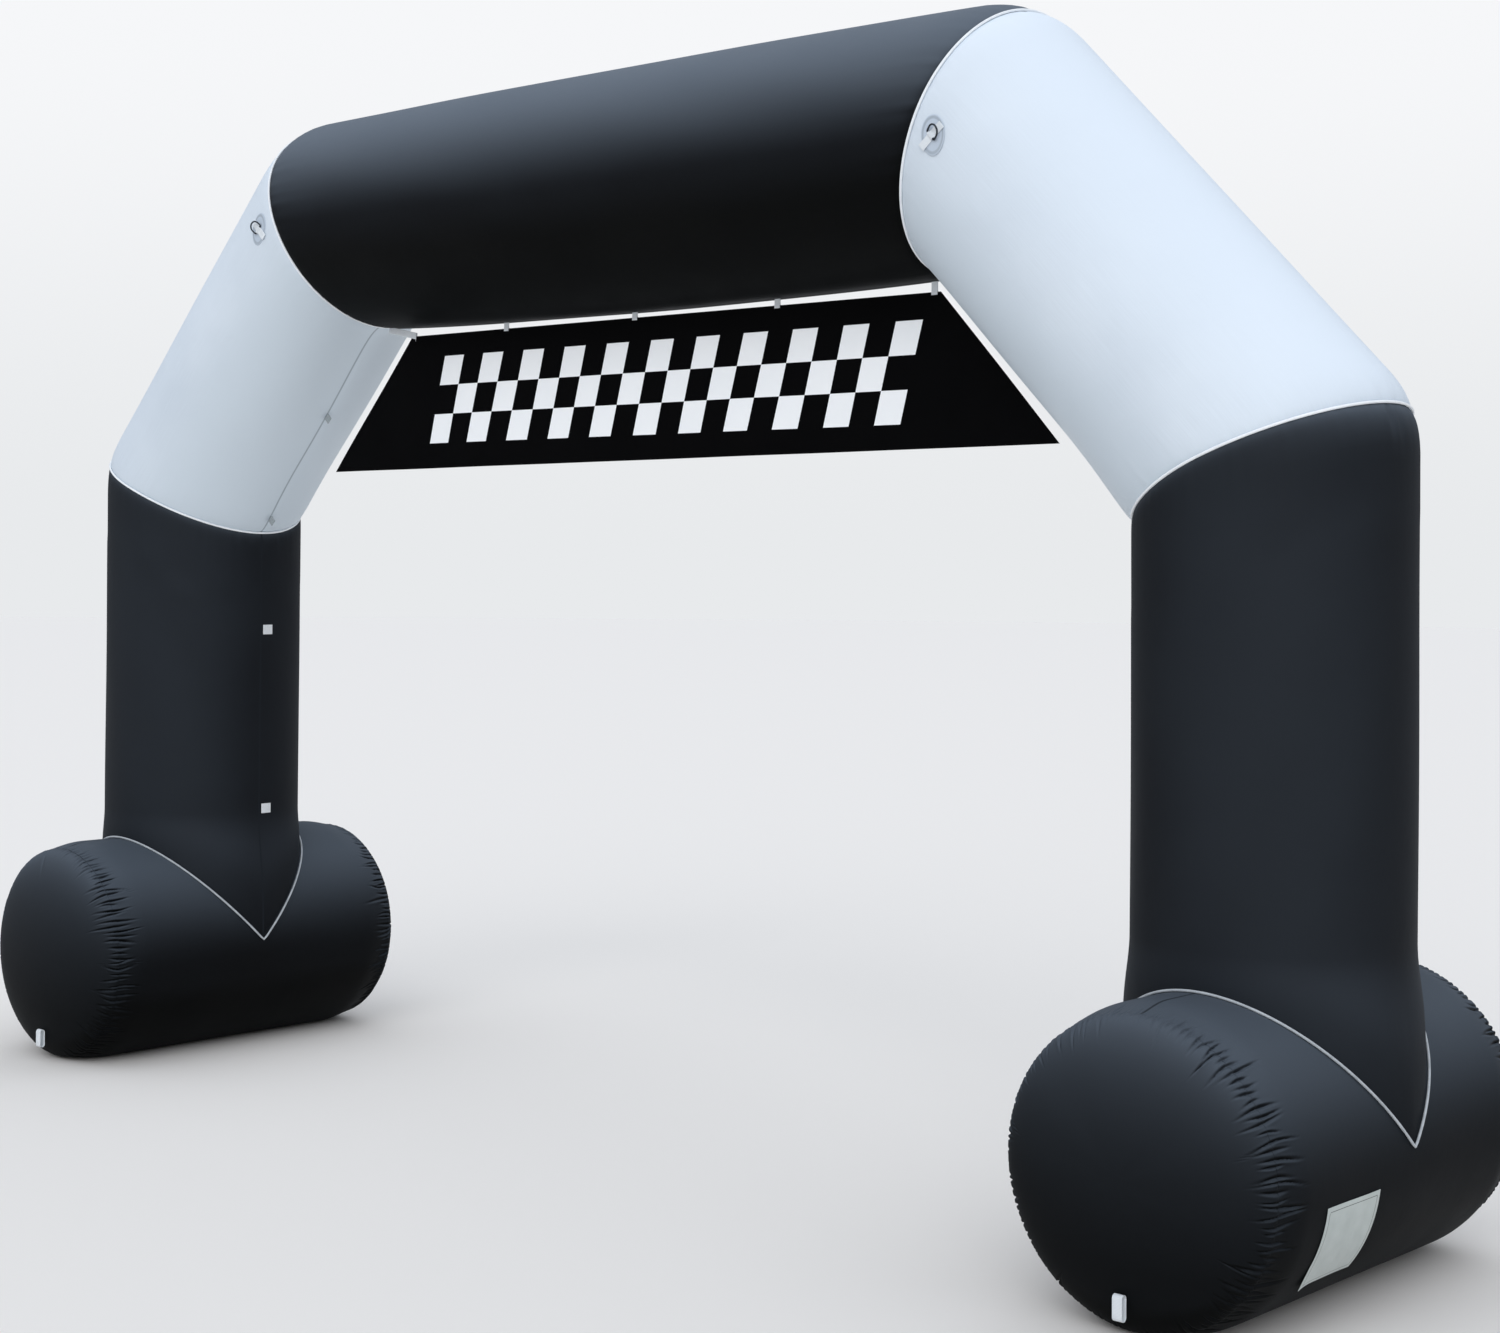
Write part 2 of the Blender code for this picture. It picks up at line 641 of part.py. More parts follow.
def main():
    beam = beam_tube()
    make_tube("beam_tube", beam, BLACK)
    make_banner()
    for number, x in enumerate(TIE_PLACES):
        make_tie(f"banner_tie_{number + 1}", x)
    for word, side in both_sides():
        shoulder = shoulder_tube(side)
        make_tube(f"shoulder_tube_{word}", shoulder, WHITE)
        make_leg(f"leg_tube_{word}", side)
        make_foot(f"foot_tube_{word}", side)
        make_elbow_piping(f"piping_lower_{word}", shoulder, True)
        make_elbow_piping(f"piping_upper_{word}", shoulder, False)
        make_saddle_piping(f"piping_saddle_{word}", side)
        for number, height in enumerate(TAB_HEIGHTS):
            make_seam_tab(f"seam_tab_{word}_{number + 1}", side, height)
        for number, height in enumerate(SQUARE_HEIGHTS):
            make_square(f"fastener_square_{word}_{number + 1}", side, height)
        for place, end in (("front", -1), ("back", 1)):
            make_cap(f"foot_cap_{word}_{place}", side, end)
            make_anchor_loop(f"anchor_loop_{word}_{place}", side, end)
            make_ring_patch(f"ring_patch_{word}_{place}", side, end)
            make_ring_strap(f"ring_strap_{word}_{place}", side, end)
            make_guy_ring(f"guy_ring_{word}_{place}", side, end)
    make_label("blank_label")


main()
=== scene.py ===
"""Inflatable race arch, dressed: black and white coated cloth, sewn, blown up and standing on two feet.

Metres, +Z up. X runs across the arch, Y from front (-Y) to back. The floor is z = 0 under its middle.
"""

from math import cos, pi, radians, sin, sqrt

import bpy
import numpy as np
from mathutils import Matrix, Vector


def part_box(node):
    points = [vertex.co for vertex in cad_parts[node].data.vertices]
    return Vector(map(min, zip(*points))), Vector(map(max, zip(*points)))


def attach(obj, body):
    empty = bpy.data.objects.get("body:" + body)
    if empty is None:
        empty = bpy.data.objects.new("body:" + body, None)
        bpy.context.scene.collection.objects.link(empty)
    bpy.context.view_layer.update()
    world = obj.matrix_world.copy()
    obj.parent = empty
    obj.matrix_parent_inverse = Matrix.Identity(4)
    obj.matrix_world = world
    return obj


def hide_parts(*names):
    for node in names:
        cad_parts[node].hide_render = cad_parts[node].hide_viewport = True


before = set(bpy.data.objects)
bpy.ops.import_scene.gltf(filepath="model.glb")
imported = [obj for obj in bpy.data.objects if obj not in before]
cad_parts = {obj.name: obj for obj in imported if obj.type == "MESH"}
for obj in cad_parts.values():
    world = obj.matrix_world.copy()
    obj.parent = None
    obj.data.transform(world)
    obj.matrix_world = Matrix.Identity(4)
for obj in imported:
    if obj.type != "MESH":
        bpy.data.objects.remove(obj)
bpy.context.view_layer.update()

# ---------------------------------------------------------------- sizes

# Tubes: places of the joints between their axes, and their radii
HALF_SPAN = 2.09
BEAM_HALF = 1.28
SHOULDER_Z = 1.885
BEAM_Z = 2.712
LEG_R = 0.324
SHOULDER_R = 0.330
BEAM_R = 0.350
BEAM_SAG = 0.005  # how far the middle of the blown-up beam sinks
LOW_JOINT_R = 0.326
HIGH_JOINT_R = 0.333
GAP = 0.0004  # between neighbouring pieces
SEAM_TUCK = 0.006  # how far a seam is drawn in
SEAM_FADE = 0.012
CORNER_ROUND = 0.26  # radius of the outer corner of a bend
INNER_DIP = 0.028  # how much lower a leg's top seam runs on its inner side
DIP_REACH = 0.15
PINCH = {-1: 0.028, 1: 0.004}  # how far a shoulder's inner side is drawn in below the beam
PINCH_START = 0.03
PINCH_REACH = 0.36
SLACK_WAVES = 7  # waves that make up a tube's slow unevenness
SPINE_DEPTH = 0.0022  # of the groove where a tube's panel is sewn to itself
SPINE_WIDTH = 0.005
TUBE_ACROSS = 192  # squares of a tube's cloth round it
TUBE_NEAR = (0.0, 0.003, 0.007, 0.012, 0.019, 0.028, 0.040, 0.055, 0.075, 0.10, 0.135, 0.18, 0.23)
TUBE_MIDDLE = 30  # rows of squares between the finer ones near its seams

# Feet
FOOT_R = 0.356
FOOT_Z = 0.344
FOOT_SEAM_Y = 0.545
FOOT_SEAM_R = 0.338
FOOT_NECK = 0.105
CAP_DEPTH = 0.095
FOOT_ACROSS = 1200
FOOT_NEAR = (
    0.0, 0.002, 0.004, 0.007, 0.011, 0.016, 0.022, 0.029, 0.037, 0.046, 0.056, 0.067, 0.079,
    0.092, 0.106,
)  # distance along the tube from its seam
CAP_ROWS = (
    0.0, 0.002, 0.004, 0.007, 0.011, 0.016, 0.022, 0.029, 0.037, 0.046, 0.056, 0.067, 0.079,
    0.093, 0.110, 0.130, 0.155, 0.185, 0.215, 0.245, 0.275, 0.305, 0.335, 0.365, 0.385,
)  # distance along the dome from its seam
FOOT_MIDDLE = 18  # rows of squares between the finer ones near its seams
FLOOR_EASE = 0.003  # how softly the cloth meets the floor

# Gathers across an end seam
GATHER_COUNT = 122
GATHER_DEPTH = 0.0074
GATHER_WIDTH = 0.0033
GATHER_HALF = 0.046  # half a fold's length, half of it on the tube and half on the cap
SEAM_HOLD = 0.003  # how near the seam its stitches hold the folds flat
SEAM_WAVE_FADE = 0.01

CREASE_DEPTH = 0.004  # of the crease across a front cap's top
CREASE_TURN = 0.20
CREST_SHARE = 0.28  # how high the cloth stands beside a fold, by the fold's depth
CREST_SPREAD = 2.4

# Saddle, where a leg is sewn on its foot
SADDLE_HALF_Y = 0.326
SADDLE_TIP = 0.028
FLARE_TOP = 0.79
FLARE_PILLOW = 0.006
FLARE_ROWS = (
    0.0, 0.06, 0.12, 0.19, 0.26, 0.34, 0.42, 0.50, 0.58, 0.66, 0.73, 0.80, 0.86, 0.91, 0.95,
    0.98, 1.0,
)  # by share of the way down
UNDER_ROWS = (0.02, 0.30, 1.0)
LEG_MIDDLE = 26  # rows of squares between the finer ones and the widening
LEG_CLOTH = 1.6  # length of a leg's panel

# Beads in the seams
PIPING_R = 0.0035
PIPING_LIFT = 0.0007
PIPING_SHIFT = 0.0020
SADDLE_BEAD_SHARE = 0.9  # of the other beads' thickness

# Banner
BANNER_TOP_Z = 2.342
BANNER_BOTTOM_Z = 1.940
BANNER_TOP_HALF = 1.052
BANNER_BOTTOM_HALF = 1.429
BANNER_THICK = 0.0012
BANNER_SHIFT = 0.062  # it hangs a little to one side
BANNER_DROOP = 0.018  # how much lower its left bottom corner hangs
BANNER_WAVE, BANNER_SWAY = 0.0030, 0.0022  # depth of its short and long waves
BANNER_ACROSS, BANNER_UP = 220, 32  # squares of its cloth
CHEQUER_SQUARE = 0.090
CHEQUER_COLUMNS = 21
CHEQUER_ROWS = 3
CHEQUER_LEFT = -0.906  # its left edge at its foot, from the middle of the arch
CHEQUER_LOW = 2.003
CHEQUER_SLANT = 0.27  # how far it leans to the right for its height
TIE_PLACES = (-0.972, -0.55, 0.0, 0.55, 1.094)  # along the banner's top hem
TIE_TOPS = (-1.105, -0.55, 0.0, 0.55, 1.094)  # along the beam
TIE_WIDTH = 0.020
TIE_GRIP = 0.008  # how far a tie reaches down the banner
TIE_THICK = 0.0012

# Small fittings
TAB_SIZE = 0.024  # how far it stands out
TAB_WIDTH = 0.02304
TAB_THICK = 0.0009
TAB_BEND = 0.0011  # radius of its fold
TAB_HEIGHTS = (2.092, 1.775)
PATCH_R = 0.042
PATCH_LIFT = 0.0006
PATCH_THICK = 0.0012
PATCH_ALONG = 0.080
PATCH_UP = 0.022
STRAP_WIDTH = 0.022
STRAP_LENGTH = 0.080
STRAP_THICK = 0.0014
STRAP_FLOOR = 0.0006
RING_SET_BACK = 0.004  # of the ring's bar from the middle of its patch
STRAP_TURN = radians(42)
RING_WIRE_R = 0.0024
RING_BAR = 0.034
RING_REACH = 0.031
RING_TILT = radians(22)
RING_CUT = 0.2  # how far the corner between bar and bow is rounded, by half the bar
LOOP_WIDTH = 0.025
LOOP_DEPTH = 0.018
LOOP_THICK = 0.0022
SQUARE_WIDTH = 0.040
SQUARE_HEIGHT = 0.032
SQUARE_THICK = 0.0015
SQUARE_HEIGHTS = (1.40, 0.80)
SQUARE_TURN = 0.09  # round the leg from its inner side
LABEL_Y = -0.262
LABEL_LENGTH = 0.225
LABEL_TOP = -7.0
LABEL_BOTTOM = -39.0
LABEL_THICK = 0.0012
LABEL_LIFT = 0.0013
LABEL_CURL = 0.008  # how far its loose corner lifts

ACROSS = np.array((0.0, 1.0, 0.0))


# ---------------------------------------------------------------- materials


def linear(hex_code):
    """A colour given as sRGB hex, as the shader wants it."""
    parts = (int(hex_code[i : i + 2], 16) / 255 for i in (1, 3, 5))
    return (*(p / 12.92 if p <= 0.04045 else ((p + 0.055) / 1.055) ** 2.4 for p in parts), 1.0)


def as_value(value):
    """What a socket takes: a colour's hex code made linear, and anything else as it is."""
    return linear(value) if isinstance(value, str) else value


def add(tree, kind, values=None, links=None, **settings):
    """A node with its settings, its inputs' values and the sockets that feed them."""
    made = tree.nodes.new("ShaderNode" + kind)
    for key, value in settings.items():
        setattr(made, key, value)
    for key, value in (values or {}).items():
        made.inputs[key].default_value = as_value(value)
    for key, socket in (links or {}).items():
        tree.links.new(socket, made.inputs[key])
    return made.outputs


# Settings and sockets that several nodes share
COLOURS = {"data_type": "RGBA"}
SMOOTH = {"interpolation_type": "SMOOTHSTEP"}
FACTOR, FIRST, SECOND, BLEND = 0, 6, 7, 2  # a colour mix's inputs, and its output


def begin(name, **sockets):
    """A material with one Principled shader, its constant sockets set."""
    material = bpy.data.materials.new(name)
    material.use_nodes = True
    shader = material.node_tree.nodes["Principled BSDF"]
    for key, value in sockets.items():
        shader.inputs[key.replace("_", " ")].default_value = as_value(value)
    return material, material.node_tree, shader


def weave(tree, where, pitch):
    """Height of a plain weave of the given thread pitch, in metres, over a UV map in metres.

    A wave texture of scale 1 repeats every pi / 10.
    """
    scale = pi / 10 / pitch
    warp = add(tree, "TexWave", {"Scale": scale}, {"Vector": where}, bands_direction="X")["Fac"]
    weft = add(tree, "TexWave", {"Scale": scale}, {"Vector": where}, bands_direction="Y")["Fac"]
    return add(tree, "Math", links={0: warp, 1: weft}, operation="MULTIPLY")["Value"]


def face_cloth(tree, shader, colour, relief, strength, depth):
    """Give a shader its colour, and a fine relief of the given depth in metres."""
    tree.links.new(colour, shader.inputs["Base Color"])
    bump = add(tree, "Bump", {"Strength": strength, "Distance": depth}, {"Height": relief})["Normal"]
    tree.links.new(bump, shader.inputs["Normal"])


def oxford(name, colour, deep, painted_light, painted_shade, sewn, rough, level, soft, front_light):
    """Coated 210-denier polyester oxford, woven, dyed and calendered: a satin skin over a fine even weave.

    Painted highlight: what faces up is painted paler, the more so the higher it stands, and so is the side
    of the lower parts that faces the front. Painted shade: the undersides and the cloth by the ground are
    painted darker. The threads are 0.4 mm apart, and are drawn 1.6 mm apart so that they show close up.
    """
    material, tree, shader = begin(
        name,
        Specular_IOR_Level=level,
        Sheen_Weight=soft,
        Sheen_Roughness=0.4,
        Sheen_Tint="#c8d4e4",
        IOR=1.48,
    )
    flat = add(tree, "UVMap", uv_map="cloth")["UV"]
    place = add(tree, "TexCoord")["Object"]
    tall = add(tree, "SeparateXYZ", links={0: place})["Z"]
    normal = add(tree, "NewGeometry")["Normal"]
    facing = add(tree, "SeparateXYZ", links={0: normal})["Z"]

    # The dye is a little uneven, in clouds and along the threads
    clouding = {"Scale": 2.6, "Detail": 3.0, "Roughness": 0.5}
    cloud = add(tree, "TexNoise", clouding, {"Vector": place})["Fac"]
    spread = add(tree, "MapRange", {1: 0.30, 2: 0.72, 3: 0.0, 4: 1.0}, {0: cloud})[0]
    shade = add(tree, "Mix", {FIRST: deep, SECOND: colour}, {FACTOR: spread}, **COLOURS)[BLEND]
    drawn = add(tree, "Mapping", {"Scale": (420.0, 9.0, 1.0)}, {"Vector": flat})["Vector"]
    slub = add(tree, "TexNoise", {"Scale": 1.0, "Detail": 2.0}, {"Vector": drawn})["Fac"]
    tint = add(tree, "MapRange", {1: 0.3, 2: 0.7, 3: 0.975, 4: 1.02}, {0: slub})[0]
    shade = add(tree, "VectorMath", links={0: shade, 3: tint}, operation="SCALE")["Vector"]

    # Painted highlight: what faces up is painted paler, the more so the higher it stands
    upward = add(tree, "MapRange", {1: -0.12, 2: 0.84, 3: 0.0, 4: 1.0}, {0: facing}, **SMOOTH)[0]
    higher_up = add(tree, "MapRange", {1: 0.4, 2: 2.4, 3: 0.55, 4: 1.0}, {0: tall})[0]
    painted_top_light = add(tree, "Math", links={0: upward, 1: higher_up}, operation="MULTIPLY")["Value"]
    # Painted highlight: the side of the lower parts that faces the front is painted paler, as if lit by a
    # front light
    ahead = {1: (0.48, -0.84, 0.25)}
    ahead_on = add(tree, "VectorMath", ahead, {0: normal}, operation="DOT_PRODUCT")["Value"]
    facing_front_light = add(tree, "MapRange", {1: 0.45, 2: 1.0, 3: 0.0, 4: 1.0}, {0: ahead_on}, **SMOOTH)[0]
    low_down = add(tree, "MapRange", {1: 1.7, 2: 2.2, 3: front_light, 4: 0.0}, {0: tall})[0]
    painted_front_light = add(tree, "Math", links={0: low_down, 1: facing_front_light}, operation="MULTIPLY")["Value"]
    # Both painted highlights are mixed in here, towards the paler colour
    for share in (painted_top_light, painted_front_light):
        shade = add(tree, "Mix", {SECOND: painted_light}, {FACTOR: share, FIRST: shade}, **COLOURS)[BLEND]

    # Painted shade on the undersides and on the cloth by the ground, and the sewn line
    under = add(tree, "MapRange", {1: 0.05, 2: -0.50, 3: 0.0, 4: 1.0}, {0: facing}, **SMOOTH)[0]
    grounded = add(tree, "MapRange", {1: 0.62, 2: 0.16, 3: 0.0, 4: 0.8}, {0: tall})[0]
    painted_shade_share = add(tree, "Math", links={0: under, 1: grounded}, operation="MAXIMUM")["Value"]
    # Painted shade: where the cloth faces down or stands by the ground it is painted darker
    shade = add(tree, "Mix", {SECOND: painted_shade}, {FACTOR: painted_shade_share, FIRST: shade}, **COLOURS)[BLEND]
    seam = add(tree, "Attribute", attribute_name="seam")["Fac"]
    line = add(tree, "MapRange", {1: 0.0018, 2: 0.0044, 3: 0.85, 4: 0.0}, {0: seam})[0]
    shade = add(tree, "Mix", {SECOND: sewn}, {FACTOR: line, FIRST: shade}, **COLOURS)[BLEND]
    tree.links.new(shade, shader.inputs["Base Color"])

    # Gloss and relief
    gloss = add(tree, "MapRange", {1: 0.3, 2: 0.7, 3: rough - 0.05, 4: rough + 0.06}, {0: cloud})[0]
    tree.links.new(gloss, shader.inputs["Roughness"])
    creasing = {"Scale": 34.0, "Detail": 3.0, "Roughness": 0.55}
    crinkle = add(tree, "TexNoise", creasing, {"Vector": place})["Fac"]
    crinkled = add(tree, "Bump", {"Strength": 0.35, "Distance": 0.0012}, {"Height": crinkle})["Normal"]
    woven = {"Height": weave(tree, flat, 0.0016), "Normal": crinkled}
    threads = add(tree, "Bump", {"Strength": 0.30, "Distance": 0.00018}, woven)["Normal"]
    tree.links.new(threads, shader.inputs["Normal"])
    return material


def webbing(name, colour, deep):
    """Woven polypropylene tape: ribs across it 1.6 mm apart and a firmer edge, dull but for its threads."""
    material, tree, shader = begin(name, Roughness=0.62, Sheen_Weight=0.25, Sheen_Roughness=0.5, IOR=1.49)
    flat = add(tree, "UVMap", uv_map="cloth")["UV"]
    place = add(tree, "TexCoord")["Object"]
    ribs = weave(tree, flat, 0.0016)
    grime = add(tree, "TexNoise", {"Scale": 60.0, "Detail": 4.0}, {"Vector": place})["Fac"]
    worn = add(tree, "MapRange", {1: 0.35, 2: 0.75, 3: 1.0, 4: 0.35}, {0: grime})[0]
    # Painted shade: the hollows between the ribs are painted darker, and the grime noise darkens it further
    # as real dirt
    depth = add(tree, "Math", links={0: ribs, 1: worn}, operation="MULTIPLY")["Value"]
    shade = add(tree, "Mix", {FIRST: deep, SECOND: colour}, {FACTOR: depth}, **COLOURS)[BLEND]
    face_cloth(tree, shader, shade, ribs, 0.6, 0.0004)
    return material


def piping_tape(name, colour, deep):
    """Bias tape folded round a cord: a smooth twill whose slant shows as fine ribs round the bead."""
    material, tree, shader = begin(name, Roughness=0.5, Sheen_Weight=0.3, Sheen_Roughness=0.4, IOR=1.49)
    place = add(tree, "TexCoord")["Object"]
    rib_scale = {"Scale": pi / 10 / 0.0028}
    ribs = add(tree, "TexWave", rib_scale, {"Vector": place}, bands_direction="DIAGONAL")["Fac"]
    spots = add(tree, "TexNoise", {"Scale": 45.0, "Detail": 3.0}, {"Vector": place})["Fac"]
    dirt = add(tree, "MapRange", {1: 0.4, 2: 0.7, 3: 1.0, 4: 0.5}, {0: spots})[0]
    shade = add(tree, "Mix", {FIRST: deep, SECOND: colour}, {FACTOR: dirt}, **COLOURS)[BLEND]
    face_cloth(tree, shader, shade, ribs, 0.35, 0.0004)
    return material


def steel_wire(name):
    """Nickel-plated steel wire, drawn and bent: bright, with fine lines and a duller, scuffed bow."""
    material, tree, shader = begin(name, Metallic=1.0, Roughness=0.28)
    place = add(tree, "TexCoord")["Object"]
    scuff = add(tree, "TexNoise", {"Scale": 380.0, "Detail": 4.0}, {"Vector": place})["Fac"]
    rough = add(tree, "MapRange", {1: 0.35, 2: 0.7, 3: 0.2, 4: 0.5}, {0: scuff})[0]
    tree.links.new(rough, shader.inputs["Roughness"])
    shade = add(tree, "Mix", {FIRST: "#1e2126", SECOND: "#4d535b"}, {FACTOR: scuff}, **COLOURS)[BLEND]
    face_cloth(tree, shader, shade, scuff, 0.15, 0.0002)
    return material


def printed_banner(name):
    """Knitted polyester flag cloth, printed: a dull black ground and a slanting white chequer.

    Its UV map is in metres, from the middle of the arch and from the floor.
    """
    material, tree, shader = begin(name, Roughness=0.8, Specular_IOR_Level=0.05, IOR=1.47)
    flat = add(tree, "UVMap", uv_map="cloth")["UV"]
    lean = {1: (1.0, -CHEQUER_SLANT, 0.0)}
    leaning = add(tree, "VectorMath", lean, {0: flat}, operation="DOT_PRODUCT")["Value"]
    start = {1: CHEQUER_LEFT - CHEQUER_SLANT * CHEQUER_LOW}
    along = add(tree, "Math", start, {0: leaning}, operation="SUBTRACT")["Value"]
    height = add(tree, "SeparateXYZ", links={0: flat})["Y"]
    up = add(tree, "Math", {1: CHEQUER_LOW}, {0: height}, operation="SUBTRACT")["Value"]
    cells, inside = [], []
    for distance, count in ((along, CHEQUER_COLUMNS), (up, CHEQUER_ROWS)):
        share = add(tree, "Math", {1: CHEQUER_SQUARE}, {0: distance}, operation="DIVIDE")["Value"]
        cells.append(add(tree, "Math", links={0: share}, operation="FLOOR")["Value"])
        half = CHEQUER_SQUARE * count / 2
        inside.append(add(tree, "Math", {1: half, 2: half}, {0: distance}, operation="COMPARE")["Value"])
    total = add(tree, "Math", links={0: cells[0], 1: cells[1]}, operation="ADD")["Value"]
    odd = add(tree, "Math", {1: 2.0}, {0: total}, operation="FLOORED_MODULO")["Value"]
    even = add(tree, "Math", {0: 1.0}, {1: odd}, operation="SUBTRACT")["Value"]
    block = add(tree, "Math", links={0: inside[0], 1: inside[1]}, operation="MULTIPLY")["Value"]
    ink = add(tree, "Math", links={0: block, 1: even}, operation="MULTIPLY")["Value"]
    mottle = {FACTOR: add(tree, "TexNoise", {"Scale": 5.0, "Detail": 3.0}, {"Vector": flat})["Fac"]}
    ground = add(tree, "Mix", {FIRST: "#020203", SECOND: "#060607"}, mottle, **COLOURS)[BLEND]
    paper = add(tree, "Mix", {FIRST: "#f4f7fa", SECOND: "#fdfeff"}, mottle, **COLOURS)[BLEND]
    shade = add(tree, "Mix", links={FACTOR: ink, FIRST: ground, SECOND: paper}, **COLOURS)[BLEND]
    face_cloth(tree, shader, shade, weave(tree, flat, 0.0014), 0.3, 0.0002)
    return material


def hook_and_loop(name):
    """The loop half of hook-and-loop tape: a matted nylon pile, chalky and without gloss."""
    material, tree, shader = begin(name, Roughness=0.9, Sheen_Weight=0.6, Sheen_Roughness=0.6, IOR=1.5)
    place = add(tree, "TexCoord")["Object"]
    pile = add(tree, "TexVoronoi", {"Scale": 620.0}, {"Vector": place})["Distance"]
    shade = add(tree, "Mix", {FIRST: "#f2f4f6", SECOND: "#c9cdd2"}, {FACTOR: pile}, **COLOURS)[BLEND]
    face_cloth(tree, shader, shade, pile, 0.9, 0.0012)
    return material


def label_satin(name):
    """Blank polyester label satin, heat cut: smooth, slightly grey, with a printed hairline frame."""
    material, tree, shader = begin(name, Roughness=0.45, Sheen_Weight=0.3, Sheen_Roughness=0.35, IOR=1.48)
    flat = add(tree, "UVMap", uv_map="cloth")["UV"]
    edge = add(tree, "Attribute", attribute_name="edge")["Fac"]
    hairline = add(tree, "Math", {1: 0.011, 2: 0.0009}, {0: edge}, operation="COMPARE")["Value"]
    cloud = add(tree, "TexNoise", {"Scale": 24.0, "Detail": 4.0}, {"Vector": flat})["Fac"]
    paper = add(tree, "Mix", {FIRST: "#a7b0ad", SECOND: "#c6cdca"}, {FACTOR: cloud}, **COLOURS)[BLEND]
    shade = add(tree, "Mix", {SECOND: "#59615f"}, {FACTOR: hairline, FIRST: paper}, **COLOURS)[BLEND]
    face_cloth(tree, shader, shade, weave(tree, flat, 0.0012), 0.25, 0.0002)
    return material


# For each oxford cloth, the paler colour after deep is a painted highlight and the darker one after it a
# painted shade; the black's last number sets its painted front highlight
BLACK_OXFORD = oxford(
    "coated_oxford_black",
    colour="#171a1e", deep="#101216", painted_light="#606974", painted_shade="#020303", sewn="#1c2025",
    rough=0.64, level=0.07, soft=0.02, front_light=0.075,
)
WHITE_OXFORD = oxford(
    "coated_oxford_white",
    colour="#dae3ec", deep="#ced8e2", painted_light="#e2ebf5", painted_shade="#ccd7e0", sewn="#919da6",
    rough=0.50, level=0.40, soft=0.05, front_light=0.0,
)
PATCH_OXFORD = oxford(
    "coated_oxford_patch",
    colour="#c3cedb", deep="#b6c1ce", painted_light="#cbd6e2", painted_shade="#b3bdc8", sewn="#a3adb7",
    rough=0.50, level=0.40, soft=0.05, front_light=0.0,
)
PIPING_WHITE = piping_tape("piping_tape_white", "#f4f7fa", "#e2e7ec")
PIPING_GREY = piping_tape("piping_tape_grey", "#b9bec3", "#8f959b")
WEBBING_WHITE = webbing("webbing_white", "#fbfdff", "#d9dfe4")
WEBBING_GREY = webbing("webbing_grey", "#c9d0d3", "#8b9498")
BANNER_PRINT = printed_banner("flag_cloth_printed")
LOOP_TAPE = hook_and_loop("loop_tape_white")
LABEL_SATIN = label_satin("label_satin_blank")
WIRE = steel_wire("nickel_plated_wire")


# ---------------------------------------------------------------- making cloth


def bare():
    """Deselect everything, so that an operator acts on the new piece alone."""
    bpy.ops.object.select_all(action="DESELECT")


def in_edit(*steps):
    """Run steps in edit mode on the active object, each with everything selected."""
    bpy.ops.object.mode_set(mode="EDIT")
    for step in steps:
        bpy.ops.mesh.select_all(action="SELECT")
        step()
    bpy.ops.object.mode_set(mode="OBJECT")


def close_ends():
    """Fill the open rings at both ends of a tube."""
    bpy.ops.mesh.select_all(action="DESELECT")
    bpy.ops.mesh.select_non_manifold(extend=False)
    bpy.ops.mesh.fill_holes(sides=0)


def merge():
    """Join the two long edges of a panel, and the points of a pole."""
    bpy.ops.mesh.remove_doubles(threshold=0.00002)


def face_out():
    """Turn every face outwards."""
    bpy.ops.mesh.normals_make_consistent(inside=False)


def points_of(mesh):
    """The places of a mesh's points, one row each."""
    points = np.empty(len(mesh.vertices) * 3)
    mesh.vertices.foreach_get("co", points)
    return points.reshape(-1, 3)


def lay_map(mesh, metres):
    """Set a mesh's UV map from a pair of numbers for each point."""
    corners = np.empty(len(mesh.loops), int)
    mesh.loops.foreach_get("vertex_index", corners)
    mesh.uv_layers["cloth"].data.foreach_set("uv", metres[corners].ravel())


def cut_cloth(name, across, along, place, uv_size, marks=None):
    """A panel of across by along squares, laid where place(u, v) says, with its UV map in metres.

    marks gives named numbers for each point, which the materials read.
    """
    bare()
    bpy.ops.mesh.primitive_grid_add(x_subdivisions=across, y_subdivisions=along, size=2.0)
    panel = bpy.context.object
    mesh = panel.data
    panel.name = mesh.name = name
    u, v = (points_of(mesh)[:, axis] / 2 + 0.5 for axis in (0, 1))
    mesh.vertices.foreach_set("co", np.asarray(place(u, v), float).ravel())
    for key, values in (marks(u, v) if marks else {}).items():
        mesh.attributes.new(key, "FLOAT", "POINT").data.foreach_set("value", values)
    mesh.uv_layers.active.name = "cloth"
    lay_map(mesh, np.stack((u * uv_size[0], v * uv_size[1]), axis=1))
    mesh.update()
    return panel


def pick(piece):
    """Select one piece and no other, as the active one."""
    bare()
    piece.select_set(True)
    bpy.context.view_layer.objects.active = piece


def sew(panel, material, node, smooth):
    """Finish a piece: one smooth closed body that rides with the arch and stands for its node."""
    pick(panel)
    bpy.ops.object.shade_smooth_by_angle(angle=radians(smooth))
    panel.data.materials.clear()
    panel.data.materials.append(material)
    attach(panel, "root")
    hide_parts(node)
    return panel


def thicken(panel, thickness, bevel=0.0):
    """Give a sheet its thickness, half on each side of it, and soften its cut edges."""
    pick(panel)
    wall = panel.modifiers.new("thickness", "SOLIDIFY")
    wall.thickness = thickness
    wall.offset = 0.0
    bpy.ops.object.modifier_apply(modifier=wall.name)
    if bevel:
        edge = panel.modifiers.new("edge", "BEVEL")
        edge.width = bevel
        edge.segments = 2
        edge.limit_method = "ANGLE"
        edge.angle_limit = radians(50)
        bpy.ops.object.modifier_apply(modifier=edge.name)
    return panel


